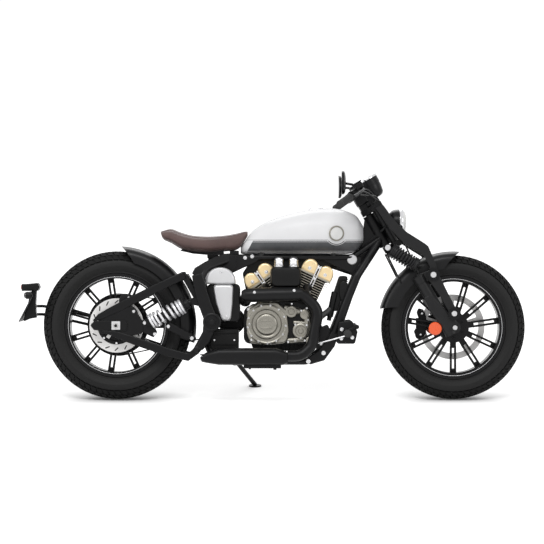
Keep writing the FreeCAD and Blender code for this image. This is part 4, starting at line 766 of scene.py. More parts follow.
# Cylinders: fins round black cylinder bodies, whose black is painted shade between the fins, and heads of two
# rounded lobes with a bright clamp between
HEADS = (("front", 25.0), ("rear", -35.5))
HEAD_LOW, HEAD_SPRING, HEAD_HIGH, HEAD_HALF, LOBE_HALF, LOBE_X = 236.0, 250.0, 298.0, 69.0, 35.5, 37.5
FIN_START, FIN_PITCH, FIN_COUNT = 146.0, 10.5, 9
for name, angle in HEADS:
    place = UPRIGHT @ Matrix.Translation((CRANK_X * MM, 0, CRANK_Z * MM)) @ turn_y(angle)
    lobes = joined([prism([(x - LOBE_HALF, HEAD_LOW), (x + LOBE_HALF, HEAD_LOW)]
        + [(x + LOBE_HALF * math.cos(t), HEAD_SPRING + (HEAD_HIGH - HEAD_SPRING) * math.sin(t) ** 0.8)
        for t in (math.pi * k / 20 for k in range(21))], -HEAD_HALF, HEAD_HALF) for x in (-LOBE_X, LOBE_X)])
    piece(f"{name}_head", lobes, "head_bronze", place, bevel=9, segments=5, angle=60,
        replaces=("cylinder_heads",) if name == "front" else ())
    # Cylinder body in black: painted shade, so that the gaps between the alloy fins read dark
    piece(f"{name}_barrel", block((-52, -60, 118), (52, 60, 236)), "engine_black", place, bevel=3,
        replaces=("cylinders",) if name == "front" else ())
    fins = joined([block((-half, -75, up), (half, 75, up + 2.4))
        for half, up in ((55 + 2.4 * k, FIN_START + FIN_PITCH * k) for k in range(FIN_COUNT))])
    piece(f"{name}_fins", fins, "fin_alloy", place, bevel=0.7)
    piece(f"{name}_head_gasket", block((-73, -72, 233), (73, 72, 238)), "fin_alloy", place, bevel=0.8)
    piece(f"{name}_head_web", block((-60, -60, 226), (60, 60, 270)), "engine_black", place, bevel=4)
    straps = joined([block((x - 2.6, 75.2, 146), (x + 2.6, 79.2, 282)) for x in (-6, 6)]).both()
    straps += joined([block((x - 2.6, -79, 281), (x + 2.6, 79, 285)) for x in (-6, 6)])
    piece(f"{name}_head_clamp", straps, "zinc", place, bevel=1.2)
    nuts = bolts(hex_bolt, [(x, HEAD_HALF, 256) for x in (-LOBE_X, LOBE_X)], 6, 7, 1)
    nuts += bolts(hex_bolt, [(0, 79, z) for z in (156, 222, 274)], 4, 5, 1)
    piece(f"{name}_head_nuts", nuts.both(), "zinc", place)

# Intake: air box and domes
DOME_PROFILE = ((0.3, 21), (3, 21.5), (6, 21.5), (8, 19.5), (26, 19.5), (28, 21), (31, 21), (36, 19),
    (41, 14), (44, 8), (45, 0.5))
piece("air_box", pillow(engine_outline([(-100, 163), (36, 163), (36, 253), (-100, 253)], 22, 8), -84.5,
    -151.8, 14, 7), "black_plastic", replaces=("air_cleaner",))
piece("air_neck", block((746, -84.6, 530), (790, -30, 565)), "black_plastic", bevel=6, segments=3)
piece("intake_domes",
    joined([round_between((CRANK_X + x, -118.5, 588), (CRANK_X + x, -118.5, 640), DOME_PROFILE)
    for x in (-62, 2)]), "chrome", replaces=("intake_domes",))

# Silencer
silencer_rows = ((373, 186, 192, 0.35), (380, 171, 201, 0.7), (398, 167, 212, 0.9), (454, 158, 231, 1.0),
    (560, 157, 232, 1.0), (704, 157, 232, 1.0), (735, 157, 222, 1.0), (754.7, 165, 212, 0.92))
silencer_rings = [ring_of(x, 46 * w, low, high, 0.55, 40) for x, low, high, w in silencer_rows]
piece("silencer", loft(silencer_rings).shifted(0, -170, 0), "exhaust_black", replaces=("silencer",),
    bevel=1.5)
piece("silencer_outlet", round_between((372, -170, 189), (384, -170, 189), [(0, 15), (1, 17), (12, 17),
    (12, 14), (2, 12)]), "zinc")

# Side cover over the electrics box, and the battery box below
dome_outline = [(460 + 68 * math.cos(t), 512 + 74 * math.sin(t) ** 0.82)
    for t in (math.pi * k / 24 for k in range(25))]
piece("side_cover_dome", pillow(dome_outline, -112, -142.5, 20, 8), "cover_silver", replaces=("side_cover",))
cover_body = rounded_outline([(466, 349), (505, 349), (514, 430), (517, 511), (426, 511), (440, 430)], 18, 6)
piece("side_cover", pillow(cover_body, -110, -138.5, 15, 7), "cover_silver")
piece("side_cover_screws", bolts(socket_bolt, ((463, -142, 566), (489, -138, 368)), 5, 4), "zinc")
box_outline = rounded_outline([(400, 345), (546, 345), (546, 513), (398, 513)], 26, 6)
piece("electrics_box", pillow(box_outline, 58.5, 40, 4, 3) + prism(box_outline, -104, 56)
    + pillow(box_outline, -104, -113, 8, 4), "black_plastic", replaces=("electrics_box",))
piece("battery_box", outline_prism([(414, 214), (540, 214), (540, 312), (414, 312)], 8, -107, 58),
    "black_plastic", bevel=2.5)
piece("battery_lid", outline_prism([(422, 243), (532, 243), (532, 288), (422, 288)], 5, -107, -111)
    + block((420, -110.5, 294), (534, -106, 304)), "black_plastic", bevel=1.5)
piece("battery_screws", bolts(socket_bolt, ((433, -111, 265), (521, -111, 265)), 4.6, 3), "zinc")

# Headlight: bucket, bright rim, reflector and lens
LAMP = Matrix.Translation((1231.0, 0, 786)) @ Matrix.Rotation(math.radians(-90), 4, "Z")
LAMP_BUCKET = ((-36, 0.5), (-35, 16), (-28, 34), (-10, 52), (4, 56), (14, 57), (30, 57), (30, 54), (0, 50),
    (-24, 30), (-28, 0.5))
LAMP_RIM = ((22, 56.5), (24, 59), (34, 59), (38, 57), (40, 53), (38, 51), (30, 52), (22, 55))
LAMP_REFLECTOR = ((28, 50), (10, 47), (-6, 34), (-14, 18), (-16, 0.5))
LAMP_LENS = ((38, 52), (45, 47), (50, 38), (53, 22), (54, 0.5))
piece("headlight_bucket", lathe(LAMP_BUCKET).moved(LAMP), "bar_black", body="fork", replaces=("headlight",))
rim, reflector, lens = lathe(LAMP_RIM, closed=True), lathe(LAMP_REFLECTOR, 48), lathe(LAMP_LENS)
for name, material, shape in (("rim", "chrome", rim), ("reflector", "chrome", reflector),
        ("lens", "lens_white", lens)):
    piece(f"headlight_{name}", shape.moved(LAMP), material, body="fork")
piece("headlight_bracket", tube([(1168, 62, 742), (1200, 64, 778), (1228, 57, 786)], 6, 20).both(),
    "bar_black", body="fork")

# Frame castings: flat beams around the tubes, gussets and their bolts
PLATE_Y, RAIL_Y = 152.0, 45.0


def inward(shape, from_x=363.0, to_x=518.0):
    """Leans a side plate in from the pivot plates to the rails under the tank."""
    out = []
    for v in shape.verts:
        share = max(0.0, min(1.0, (v.x - from_x) / (to_x - from_x)))
        out.append(Vector((v.x, v.y - (PLATE_Y - RAIL_Y) * share, v.z)))
    return Shape(out, shape.faces)


def beam(points, widths, y_low, y_high):
    """A flat bar along points (x, z), each with its own width."""
    path = [Vector((x, 0, z)) for x, z in points]
    rings = []
    for i, at in enumerate(path):
        way = (path[min(i + 1, len(path) - 1)] - path[max(i - 1, 0)]).normalized()
        side = Vector((-way.z, 0, way.x)) * widths[i] / 2
        rings.append([Vector((p.x, y, p.z)) for p, y in ((at - side, y_low), (at + side, y_low),
            (at + side, y_high), (at - side, y_high))])
    return loft(rings)


upper_beam = beam([(352, 548), (362, 566), (400, 588), (440, 608), (480, 626), (516, 634)],
    [40, 44, 46, 48, 42, 30], PLATE_Y - 15, PLATE_Y + 15)
pivot_beam = beam([(356, 556), (366, 520), (378, 470), (396, 412), (414, 366), (420, 346)],
    [44, 50, 52, 54, 56, 50], PLATE_Y - 15.5, PLATE_Y + 15.5)
foot_beam = beam([(418, 340), (406, 300), (392, 262), (372, 236), (352, 222)], [52, 46, 42, 34, 22],
    PLATE_Y - 28, PLATE_Y + 10)
seat_gusset = prism([(430, 602), (478, 545), (562, 585), (604, 602), (640, 628), (520, 641), (470, 631)], 62,
    70)
foot_end = rod((356, PLATE_Y - 30, 225), (356, PLATE_Y + 12, 225), 15, 3, 40)
castings = (inward(upper_beam) + pivot_beam + foot_beam + foot_end).both()
piece("frame_castings", castings, "frame_black", bevel=5, segments=3, angle=50)
piece("seat_gussets", seat_gusset.both(), "frame_black", bevel=2.5)
piece("pivot_caps", disc_at(PIVOT_X, PIVOT_Z, [(138, 40), (168, 40), (171, 36), (171, 30), (164, 28),
    (164, 20), (169, 18), (169, 9), (166, 7), (166, 0.5)]).both(), "frame_black")
piece("pivot_nuts", bolts(hex_bolt, [(PIVOT_X, 166, PIVOT_Z)], 12, 8, 1).both(), "caliper_black")
head_plate = outline_prism([(872, 634), (1082, 634), (1086, 612), (1052, 556), (1034, 560)], 8, 34, 52)
piece("head_gussets", head_plate.both(), "frame_black", bevel=3)
piece("neck_plate", prism([(1098, 796), (1130, 786), (1156, 708), (1106, 610), (1066, 560), (1044, 612),
    (1084, 690)], -15, 15), "frame_black", bevel=4, segments=3)
piece("head_gusset_discs", rod((1042, 52, 620), (1042, 58, 620), 22, 2.5, 40).both(), "cover_silver")
down_tubes = sweep(rounded([(958, 105, 292), (1000, 98, 396), (1063, 84, 550), (1158, 24, 694)], 60), 19, 20)
piece("down_tube_sleeves", down_tubes.both(), "frame_black")
piece("lower_front_castings", beam([(846, 172), (902, 196), (944, 250), (966, 300)], [34, 52, 46, 34], 92,
    122).both(), "frame_black", bevel=6, segments=3, angle=50)
piece("frame_ring_discs", joined([rod((x, 122, z), (x, 127, z), 10, 1.5, 32)
    for x, z in ((847, 172), (914, 209))]).both(), "zinc")

# Engine mounts, and the hoses and regulator in front of the engine
ENGINE_MOUNTS = ((905, 104, 250, 24), (892, 104, 320, 17), (600, 104, 455, 16), (585, 110, 400, 13))
piece("engine_mounts", joined([rod((x, -y, z), (x, y, z), r) for x, y, z, r in ENGINE_MOUNTS]),
    "engine_black")
piece("engine_mount_bolts", bolts(hex_bolt, [mount[:3] for mount in ENGINE_MOUNTS], 6, 6, 1).both(), "zinc")
water_hose = sweep(smooth_path([(962, -58, 420), (935, -74, 392), (902, -92, 366), (876, -98, 330)]), 13, 16)
piece("water_hose", water_hose, "hose")
piece("hose_clips", joined([round_between(a, b, [(0, 14.6), (8, 14.6)], 24)
    for a, b in (((955, -62, 412), (948, -66, 405)), ((880, -98, 338), (877, -98, 331)))]), "zinc")
piece("regulator", rod((942, -66, 366), (966, -66, 478), 15, 4)
    + rod((938, -66, 350), (942, -66, 368), 10, 2), "black_plastic")

# Radiator: shroud, core ribs and side tank
core = rounded_outline([(934, 392), (978, 392), (1026, 548), (986, 548)], 14, 5)
piece("radiator_shroud", prism(core, -74, 74), "radiator_black", bevel=4, segments=3, replaces=("radiator",))
ribs = joined([block((0, -68, z), (4, 68, z + 3)) for z in range(6, 150, 8)])
lean_back = Matrix.Translation((980, 0, 394)) @ turn_y(17)
piece("radiator_ribs", ribs.moved(lean_back), "radiator_black")
tank_oval = [(1008 + 25 * math.cos(t) - 5 * math.sin(t), 474 + 56 * math.sin(t))
    for t in (-2 * math.pi * k / 40 for k in range(40))]
piece("radiator_side_tank", pillow(tank_oval, -74, -90, 9, 6), "black_plastic")

# Exhaust: pipe, ports and the shield round its first run
PIPE_Y = -147.0
pipe_points = [(565, PIPE_Y, 463), (822, PIPE_Y, 470), (892, PIPE_Y, 397), (864, PIPE_Y - 8, 243),
    (815, PIPE_Y - 20, 197), (755, -170, 197)]
pipe_line = rounded(pipe_points, 72, 10)
piece("exhaust_pipe", sweep(pipe_line, 24, 32), "exhaust_black", replaces=("exhaust_pipes",))
ports = [tube([(x, -76, z), (x + shift, -100, z), (x + shift, PIPE_Y, 466)], 17, 20)
    for x, z, shift in ((658, 500, -4), (850, 496, -14))]
ports.append(tube([(650, PIPE_Y, 464), (574, PIPE_Y, 460), (568, -92, 436)], 26, 44, 24))
piece("exhaust_ports", joined(ports), "exhaust_black")
SHIELD_RADII = ((553, 16), (558, 23), (568, 28), (590, 31), (640, 32), (720, 31.5), (780, 30), (806, 28),
    (822, 25.5))
piece("heat_shield", sweep([(x, PIPE_Y, 462 + (x - 556) * 0.03) for x, r in SHIELD_RADII],
    [r for x, r in SHIELD_RADII], 36), "exhaust_black")
piece("heat_shield_bolts", joined([rod((x, y, z), (x, y - 5, z), 6.5, 1.5)
    for x, y, z in ((610, -174, 476), (784, -172, 484))]), "zinc")
piece("silencer_foot", block((563, -192, 143), (727, -150, 158)) + rod((700, -171, 136), (700, -171, 150), 7)
    + rod((590, -171, 138), (590, -171, 150), 5), "exhaust_black", bevel=3)

# Swing arm: axle sliders, shock brackets, link and bolts
ARM_LOW, ARM_HIGH = 113.0, 134.0
arm_upper = beam([(-100, 350), (-72, 368), (-20, 394), (60, 435), (180, 495), (304, 553)],
    [8, 26, 34, 36, 36, 34], ARM_LOW, ARM_HIGH)
arm_strut = beam([(300, 552), (345, 470), (423, 346)], [28, 26, 34], ARM_LOW + 2, ARM_HIGH - 3)
arm_lower = beam([(-60, 306), (4, 290), (60, 270), (120, 249), (230, 212), (318, 190), (352, 216),
    (388, 282), (423, 346)], [8, 30, 34, 36, 36, 34, 32, 30, 34], ARM_LOW, ARM_HIGH)
arm_plate = outline_prism([(-72, 294), (60, 281), (118, 296), (124, 340), (70, 418), (40, 410), (-72, 360)],
    14, 119, 129)
arm = (arm_upper + arm_strut + arm_lower + arm_plate).both()
arm += rod((PIVOT_X, -137.5, PIVOT_Z), (PIVOT_X, 137.5, PIVOT_Z), 20)
arm += rod((308, -120, 543), (308, 120, 543), 11)
piece("swing_arm", arm, "frame_black", bevel=4, segments=3, angle=50, replaces=("swing_arm",))
slider = rounded_outline([(-113, 330), (-96, 350), (38, 353), (50, 344), (50, 312), (38, 305), (-96, 309)],
    6, 4)
piece("axle_sliders", prism(slider, 118, 134).both(), "frame_black", bevel=3)
piece("axle_blocks", block((-19, 134, 311), (19, 141, 348)).both(), "cover_silver", bevel=2)
piece("axle_nuts", bolts(hex_bolt, [(0, 141, 329)], 8, 6, 1).both(), "caliper_black")
piece("shock_bracket_plate", outline_prism([(112, 350), (150, 368), (182, 300), (166, 276), (118, 300)], 8,
    -118, -127), "frame_black", bevel=2.5)
piece("rocker_link", beam([(226, 330), (282, 302), (340, 272)], [34, 30, 30], -136, -124), "frame_black",
    bevel=3)
piece("caliper_bracket", outline_prism([(30, 372), (42, 410), (66, 420), (92, 398), (104, 366), (82, 352)],
    10, -119, -127), "caliper_black", bevel=2.5)
swing_bolts = joined([rod((x, y, z), (x, y - 5, z), r, 1.5, 28)
    for x, y, z, r in ((78, -127, 392, 7), (126, -127, 341, 8), (171, -127, 292, 8), (231, -136, 326, 8),
    (335, -136, 274, 9))])
swing_bolts += bolts(hex_bolt, ((516, -70, 597), (568, -70, 628), (599, -70, 634)), 6, 5)
piece("swing_arm_bolts", swing_bolts, "zinc")

# Rear disc: slots, carrier and rivets
DISC_FACE, SLOT_COUNT = 82.2, 16
disc_slot = block((-2.4, -DISC_FACE - 0.5, -10), (2.4, -DISC_FACE + 0.3, 10)).moved(turn_y(48)).shifted(z=105)
piece("rear_disc_slots", joined([disc_slot.moved(turn_y(360 * k / SLOT_COUNT)) for k in range(SLOT_COUNT)]),
    "engine_black", REAR, "rear_wheel")
piece("rear_disc_carrier", lathe([(-78, 86), (-83, 84), (-83, 70), (-79, 66), (-79, 20)], 56)
    + lathe([(-77.4, 20), (-77.4, 86)], 56), "rim_black", REAR, "rear_wheel")
piece("rear_disc_rivets", joined([rod((x, -83, z), (x, -85.5, z), 5, 1, 20)
    for x, z in round_places(8, 78)]), "zinc", REAR, "rear_wheel")

# Holder between the plate and the tail's arms
tail_holder = rounded_outline([(-381, 481), (-359, 481), (-363, 418), (-359, 362), (-390, 357), (-414, 346),
    (-418, 352), (-398, 418), (-390, 462)], 4)
piece("tail_holder", prism(tail_holder, -26, 26), "frame_black", bevel=2.5)

# Calipers
front_body = rounded_outline([(1322, 300), (1332, 268), (1352, 262), (1372, 288), (1380, 330), (1374, 372),
    (1362, 398), (1342, 404), (1334, 384), (1346, 350), (1336, 322)], 8, 3)
piece("front_caliper", prism(front_body, 66, 86) + prism(front_body, 34, 48)
    + block((1330, 46, 300), (1344, 68, 360)), "caliper_black", body="fork", bevel=3,
    replaces=("front_caliper",))
caliper_places = ((1350, 286), (1356, 380), (1360, 330))
piece("front_caliper_bolts", bolts(socket_bolt, [(x, 34, z) for x, z in caliper_places], 5, 5)
    + bolts(socket_bolt, [(x, 86, z) for x, z in caliper_places], 5, 5, 1), "zinc", body="fork")
piece("front_caliper_arm", outline_prism([(1366, 300), (1376, 372), (1436, 372), (1448, 330)], 8, 88, 98),
    "caliper_black", body="fork", bevel=2)
rear_body = rounded_outline([(14, 412), (66, 404), (74, 440), (62, 468), (26, 470), (12, 446)], 10, 4)
piece("rear_caliper", prism(rear_body, -112, -96) + prism(rear_body, -72, -58)
    + block((24, -98, 452), (58, -70, 468)), "caliper_black", bevel=3, replaces=("rear_caliper",))
piece("rear_caliper_bolts", bolts(socket_bolt, ((28, -112, 430), (56, -112, 452)), 5, 5), "zinc")

# Fork: bright bolts, link plates, feet, collars, reflectors, hose and stem
fork_discs = joined([rod((x, y, z), (x, y + 5, z), r, 2, 32) for x, y, z, r in ((1197, 137, 672, 13),
    (1397, 148, 553, 13), (1489, 147, 382, 12), (1492, 148, 320, 9))])
piece("fork_bright_bolts", fork_discs.both(), "cover_silver", body="fork")
piece("fork_pivot_rings", joined([disc_at(x, z, [(y, 28), (y + 4, 28), (y + 4, 15), (y, 14)], 40)
    for x, y, z in ((1397, 147.5, 553), (1489, 146.5, 382))]).both(), "bar_black", body="fork")
piece("fork_link_plates", beam([(1388, 572), (1400, 540), (1446, 462), (1486, 388), (1492, 366)],
    [40, 50, 36, 34, 20], -147.3, -135.5).both(), "beam_grey", body="fork", bevel=2.5)
piece("fork_leg_feet", beam([(1372, 462), (1402, 414), (1440, 366), (1474, 336), (1496, 324)],
    [40, 54, 60, 56, 44], -134.6, -104).both(), "beam_grey", body="fork", bevel=6, segments=3)
piece("fork_leg_collars", round_between((48.6, 108, -640), (48.6, 108, -341),
    [(1, 22), (4, 27.6), (14, 27.6), (16, 26), (262, 26), (264, 29), (296, 29), (298, 24)], 40).both(),
    "beam_grey", FORK, "fork")
piece("fork_reflectors", rod((1406, -118, 316), (1406, -126, 316), 29, 3, 48).both(), "orange", body="fork")
piece("reflector_brackets", (beam([(1398, 316), (1440, 352)], [22, 22], 110, 114)
    + rod((1406, 110, 316), (1406, 119, 316), 20)).both(), "bar_black", body="fork")
hose_path = smooth_path([(10, -250, 112), (40, -150, 80), (70, -90, 0), (74, -86, -120), (60, -84, -300),
    (50, -78, -420)], 8)
piece("brake_hose", sweep(hose_path, 3.6, 10), "hose", FORK, "fork")
piece("yoke_bolts",
    joined([socket_bolt(at, (0, 0, 1), 7, 6) for at in ((38, -48, 40), (38, 48, 40), (0, 0, 29),
    (52, -108, 29), (52, 108, 29))]), "caliper_black", FORK, "fork")
piece("stem_nut", round_between((0, 0, 29), (0, 0, 44), [(0, 22), (10, 22), (13, 18), (13, 8)], 6), "zinc",
    FORK, "fork")

# Fork knuckles, mounts of tank and seat, and control cables
piece("fork_knuckles", (beam([(40, -352), (110, -369)], [40, 46], 112, 124)
    + rod((66, 96, -361), (66, 110, -361), 20, 3)).both(), "beam_grey", FORK, "fork", bevel=3)
piece("tank_mounts", joined([rod((x, 45, 632), (x, 45, 655), 12, 2) for x in (640, 960)]).both(),
    "grip_rubber")
piece("seat_mount", block((400, -60, 626), (448, 60, 648)) + block((500, -48, 640), (540, 48, 660)),
    "frame_black", bevel=3)
CABLES = (((0, -232, 96), (34, -150, 76), (64, -60, 58), (70, -22, 20)),
    ((0, 232, 96), (34, 150, 82), (62, 66, 62), (72, 24, 20)),
    ((-2, 236, 98), (22, 160, 104), (44, 80, 96), (60, 30, 60)),
    ((2, -238, 98), (26, -160, 108), (48, -84, 98), (62, -34, 62)))
piece("control_cables", joined([sweep(smooth_path(points), 3.6, 10) for points in CABLES]), "hose", FORK,
    "fork")

# Handlebar: switch pods, reservoirs, levers and the ribs of the grips
POD_PROFILE = ((4, 12), (6, 19), (22, 19), (24, 14), (30, 14), (32, 21), (66, 21), (68, 17))
POT_Y, LEVER_RADII = 218, [6.5] * 8 + [5.2] * 13 + [6.0] * 4
grip_ribs = [(0, 12)]
for k in range(14):
    grip_ribs += [(6 + k * 8, 16.2), (10.4 + k * 8, 16.2), (11 + k * 8, 14.6), (13.4 + k * 8, 14.6)]
grip_ribs += [(122, 16.5), (127, 16.5), (129, 10)]
for name, side in (("right", -1), ("left", 1)):
    pod = round_between((-4, 205 * side, 113), (-99, 380 * side, 103), POD_PROFILE)
    piece(f"{name}_switch_pod", pod, "black_plastic", FORK, "fork", bevel=1.5,
        replaces=("hand_controls",) if side < 0 else ())
    pot_y = POT_Y * side
    piece(f"{name}_reservoir", block((-4, pot_y - 20, 118), (34, pot_y + 20, 146)), "black_plastic", FORK,
        "fork", bevel=5, segments=3)
    piece(f"{name}_reservoir_lid", block((-7, pot_y - 23, 146), (37, pot_y + 23, 151)), "caliper_black",
        FORK, "fork", bevel=2)
    lever = smooth_path([(x, y * side, z) for x, y, z in ((18, 226, 112), (26, 250, 110), (14, 300, 106),
        (-12, 352, 103), (-32, 392, 102))], 6)
    piece(f"{name}_lever", sweep(lever, LEVER_RADII), "caliper_black", FORK, "fork")
    grip = round_between((-41, 272 * side, 109), (-101, 383 * side, 103), grip_ribs, 32)
    piece(f"{name}_grip", grip, "grip_rubber", FORK, "fork", replaces=("grips",) if side < 0 else ())

# Gauge: housing, bright ring, face, ticks and needle, and the bar's clamps below it
GAUGE_X = 67


def gauge_part(low, high, profile, sides=64):
    return round_between((GAUGE_X, 0, low), (GAUGE_X, 0, high), profile, sides)


def on_dial(shape, turn):
    return shape.moved(Matrix.Rotation(turn, 4, "Z")).shifted(x=GAUGE_X)


ring = gauge_part(138, 150, [(0, 50.4), (6, 51.5), (9, 50), (10, 46), (7, 45), (5, 46)])
ticks = joined([on_dial(block((-0.7, 34 if k % 3 else 30, 145), (0.7, 41, 145.8)), 2 * math.pi * k / 36)
    for k in range(-13, 14)])
face = gauge_part(143.8, 146, [(0.3, 45.5), (1.2, 45.5)])
needle = on_dial(block((-1, -4, 146), (1, 32, 146.8)), 2.2)
piece("gauge_housing", gauge_part(50, 110, [(0, 24), (4, 34), (14, 42), (48, 48), (60, 48)], 48),
    "bar_black", FORK, "fork")
piece("bar_clamps", (block((-27, 22, 52), (29, 58, 132)) + block((10, 20, 28), (60, 52, 92))).both(),
    "bar_black", FORK, "fork", bevel=7, segments=3)
for name, material, shape in (("ring", "chrome", ring), ("face", "dial_black", face),
        ("ticks", "plate_white", ticks), ("needle", "orange", needle)):
    piece(f"gauge_{name}", shape, material, FORK, "fork")

# Mirrors: shells seen edge-on from the side, their glass facing backwards
MIRROR_AT = Vector((-37, 300, 176))
REARWARD = Vector((-0.866, 0.0, 0.5))


def mirror_part(profile, side):
    way = (REARWARD - Vector((0, 0.04 * side, 0))).normalized()
    at = Vector((MIRROR_AT.x, MIRROR_AT.y * side, MIRROR_AT.z))
    return round_between(at - way * 9, at + way * 10, profile, 56)


shells = joined([mirror_part([(0, 0.5), (0.5, 24), (3, 40), (7, 49), (11, 51), (17, 51), (18, 49.5)], side)
    for side in (-1, 1)])
faces = joined([mirror_part([(17.2, 49), (18.2, 48.5), (18.2, 0.5)], side) for side in (-1, 1)])
stalk = tube([(-5, 245, 132), (-5, 245, 150), (-30, 294, 168)], 5.5, 22)
piece("mirror_shells", shells + stalk.both(), "bar_black", FORK, "fork", replaces=("mirrors",))
piece("mirror_faces", faces, "mirror_glass", FORK, "fork")

# Foot controls, placed from the middle of their brackets
FOOT_X, FOOT_Z, FOOT_Y = 1018.2, 295.0, 119.0


def foot_pair(shape):
    return shape.shifted(FOOT_X, 0, FOOT_Z).both()


peg_profile = [(0, 10), (14, 10), (15, 16)]
for k in range(8):
    peg_profile += [(17 + k * 10.5, 17), (22 + k * 10.5, 17), (23 + k * 10.5, 14), (26 + k * 10.5, 14)]
peg_profile += [(101, 16), (103, 10)]
pedal = tube([(-6, 146, 8), (30, 148, 26), (40, 150, 30), (40, 214, 30)], 6, 14)
pedal += rod((40, 170, 30), (40, 220, 30), 10, 3) + rod((-6, 141, 8), (-6, 152, 8), 12, 2)
piece("foot_brackets", foot_pair(outline_prism([(-48, -46), (34, -46), (46, 8), (20, 58), (-38, 50)], 12,
    FOOT_Y + 0.4, 141)), "frame_black", bevel=4, segments=3, replaces=("foot_controls",))
piece("foot_pegs", foot_pair(round_between((0, 140, 0), (0, 244, 0), peg_profile)), "grip_rubber")
piece("foot_pedals", foot_pair(pedal), "frame_black")
foot_places = ((-24, 141, 18), (-26, 141, -22), (22, 141, -18))
piece("foot_bolts", foot_pair(bolts(hex_bolt, foot_places, 6, 6, 1)), "zinc")
piece("control_rods", tube([(FOOT_X - 6, 146, FOOT_Z - 10), (930, 132, 262), (880, 124, 250)], 3.4,
    30).both(), "zinc")

# Tail: lamp body, lens, indicators
lamp_side = rounded_outline([(-424, 486), (-418, 511), (-352, 517), (-344, 498), (-352, 481)], 8, 4)
piece("tail_lamp_body", prism(lamp_side, -46, 46), "black_plastic", bevel=5, segments=3)
piece("tail_lamp_lens", block((-427, -38, 488), (-420, 38, 508)), "lamp_red", bevel=2.5)
for name, side in (("right", -1), ("left", 1)):
    piece(f"{name}_indicator", round_between((-372, 88 * side, 462), (-410, 88 * side, 462),
        [(0, 6), (3, 12), (14, 16), (26, 16), (28, 14)], 28), "black_plastic")
    piece(f"{name}_indicator_lens", round_between((-399, 88 * side, 462), (-410, 88 * side, 462),
        [(0, 14), (5, 13), (9, 9), (11, 0.5)], 28), "dial_black")
    piece(f"{name}_indicator_stalk", rod((-378, 8 * side, 466), (-384, 78 * side, 462), 5), "black_plastic")

# CAD nodes that show get the finished materials
node_materials = {sub["node"]: sub["material_slot"] for sub in frame["record"]["subparts"]}
for node_name, obj in frame["nodes"].items():
    slot_name = node_materials.get(node_name)
    if slot_name in M and obj.type == "MESH":
        if not obj.data.materials:
            obj.data.materials.append(M[slot_name])
        for index in range(len(obj.material_slots)):
            obj.material_slots[index].material = M[slot_name]

# Stage: a pale floor whose glow is dimmed by ambient occlusion near the bike, a painted contact shadow on top
# of the lamps' real shadows, and a pale world
FLOOR_REACH = 120.0
SHADOW_DISTANCE = 0.16
WORLD_DIM, WORLD_BRIGHT = 0.36, 1.0


def background_rays(tree):
    """1 for rays that see the pale background: the camera's, mirrored ones and those through glass."""
    kinds = node_of(tree, "ShaderNodeLightPath").outputs
    mirrored = maths_of(tree, "MAXIMUM", kinds["Is Camera Ray"], kinds["Is Glossy Ray"])
    return maths_of(tree, "MAXIMUM", mirrored, kinds["Is Transmission Ray"])


corners = ((-1, -1), (1, -1), (1, 1), (-1, 1))
floor_mesh = bpy.data.meshes.new("floor")
floor_mesh.from_pydata([(x * FLOOR_REACH, y * FLOOR_REACH, 0) for x, y in corners], [], [(0, 1, 2, 3)])
floor = bpy.data.objects.new("floor", floor_mesh)
bpy.context.scene.collection.objects.link(floor)
floor_paint = bpy.data.materials.new("floor")
floor_paint.use_nodes = True
tree = floor_paint.node_tree
distance = node_of(tree, "ShaderNodeVectorMath", {0: place_of(tree)}, operation="LENGTH").outputs["Value"]
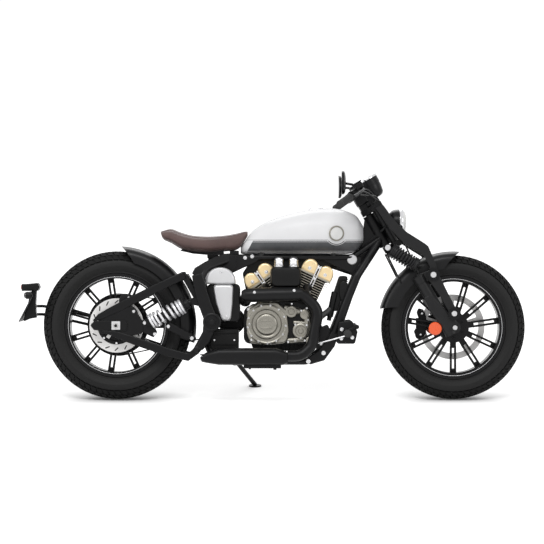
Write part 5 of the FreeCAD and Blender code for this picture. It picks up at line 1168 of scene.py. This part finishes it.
# Ambient occlusion dims the floor's glow close to the bike: a painted contact shadow
closeness = node_of(tree, "ShaderNodeAmbientOcclusion", {"Distance": SHADOW_DISTANCE},
    samples=16).outputs["AO"]
glow_with_painted_shadow = ramp_of(tree, closeness, 0.05, 0.64, 0.35, 0.95)
far_glow = ramp_of(tree, distance, 0.0, 0.12, 1.2, 4.0)
glow = maths_of(tree, "MULTIPLY", background_rays(tree), maths_of(tree, "ADD", glow_with_painted_shadow, far_glow))
for key, value in (("Base Color", (0.8, 0.8, 0.8, 1)), ("Roughness", 0.9), ("Specular IOR Level", 0.0),
        ("Emission Color", (1, 1, 1, 1)), ("Emission Strength", glow)):
    set_plug(tree, tree.nodes["Principled BSDF"].inputs[key], value)
floor.data.materials.append(floor_paint)

world = bpy.data.worlds.new("studio")
bpy.context.scene.world = world
world.use_nodes = True
tree = world.node_tree
background = tree.nodes["Background"]
set_plug(tree, background.inputs["Strength"], ramp_of(tree, background_rays(tree), WORLD_DIM, WORLD_BRIGHT,
    0.0, 1.0))
background.inputs["Color"].default_value = (1, 1, 1, 1)


def area_lamp(name, at, target, size, power, size_y=None):
    data = bpy.data.lights.new(name, "AREA")
    data.energy = power
    data.size = size
    if size_y:
        data.shape = "RECTANGLE"
        data.size_y = size_y
    lamp = bpy.data.objects.new(name, data)
    bpy.context.scene.collection.objects.link(lamp)
    lamp.location = at
    lamp.rotation_euler = (Vector(target) - Vector(at)).to_track_quat("-Z", "Y").to_euler()


area_lamp("key", (-0.6, -3.0, 4.2), (0, 0, 0.4), 3.2, 106, 1.6)
area_lamp("front_fill", (3.6, -2.2, 2.2), (0.4, 0, 0.5), 1.8, 36)
area_lamp("rear_fill", (-3.6, -1.8, 2.4), (-0.4, 0, 0.5), 1.8, 36)
area_lamp("back", (0, 3.4, 3.4), (0, 0, 0.5), 2.6, 60)

# Camera
PIXEL = 4.45
IMAGE = 544
CAMERA_DISTANCE = 12000.0
SENSOR = 36.0
middle_point = Vector(((IMAGE / 2 - 117.6) * PIXEL, 0, (399.0 - IMAGE / 2) * PIXEL))
camera_data = bpy.data.cameras.new("camera")
camera = bpy.data.objects.new("camera", camera_data)
bpy.context.scene.collection.objects.link(camera)
camera_data.sensor_width = SENSOR
camera_data.lens = SENSOR * CAMERA_DISTANCE / (IMAGE * PIXEL)
camera_data.clip_end = 400
camera.location = UPRIGHT @ ((middle_point + Vector((0, -CAMERA_DISTANCE, 0))) * MM)
camera.rotation_euler = left.to_track_quat("-Z", "Y").to_euler()
bpy.context.scene.camera = camera
bpy.context.scene.view_settings.view_transform = "Standard"
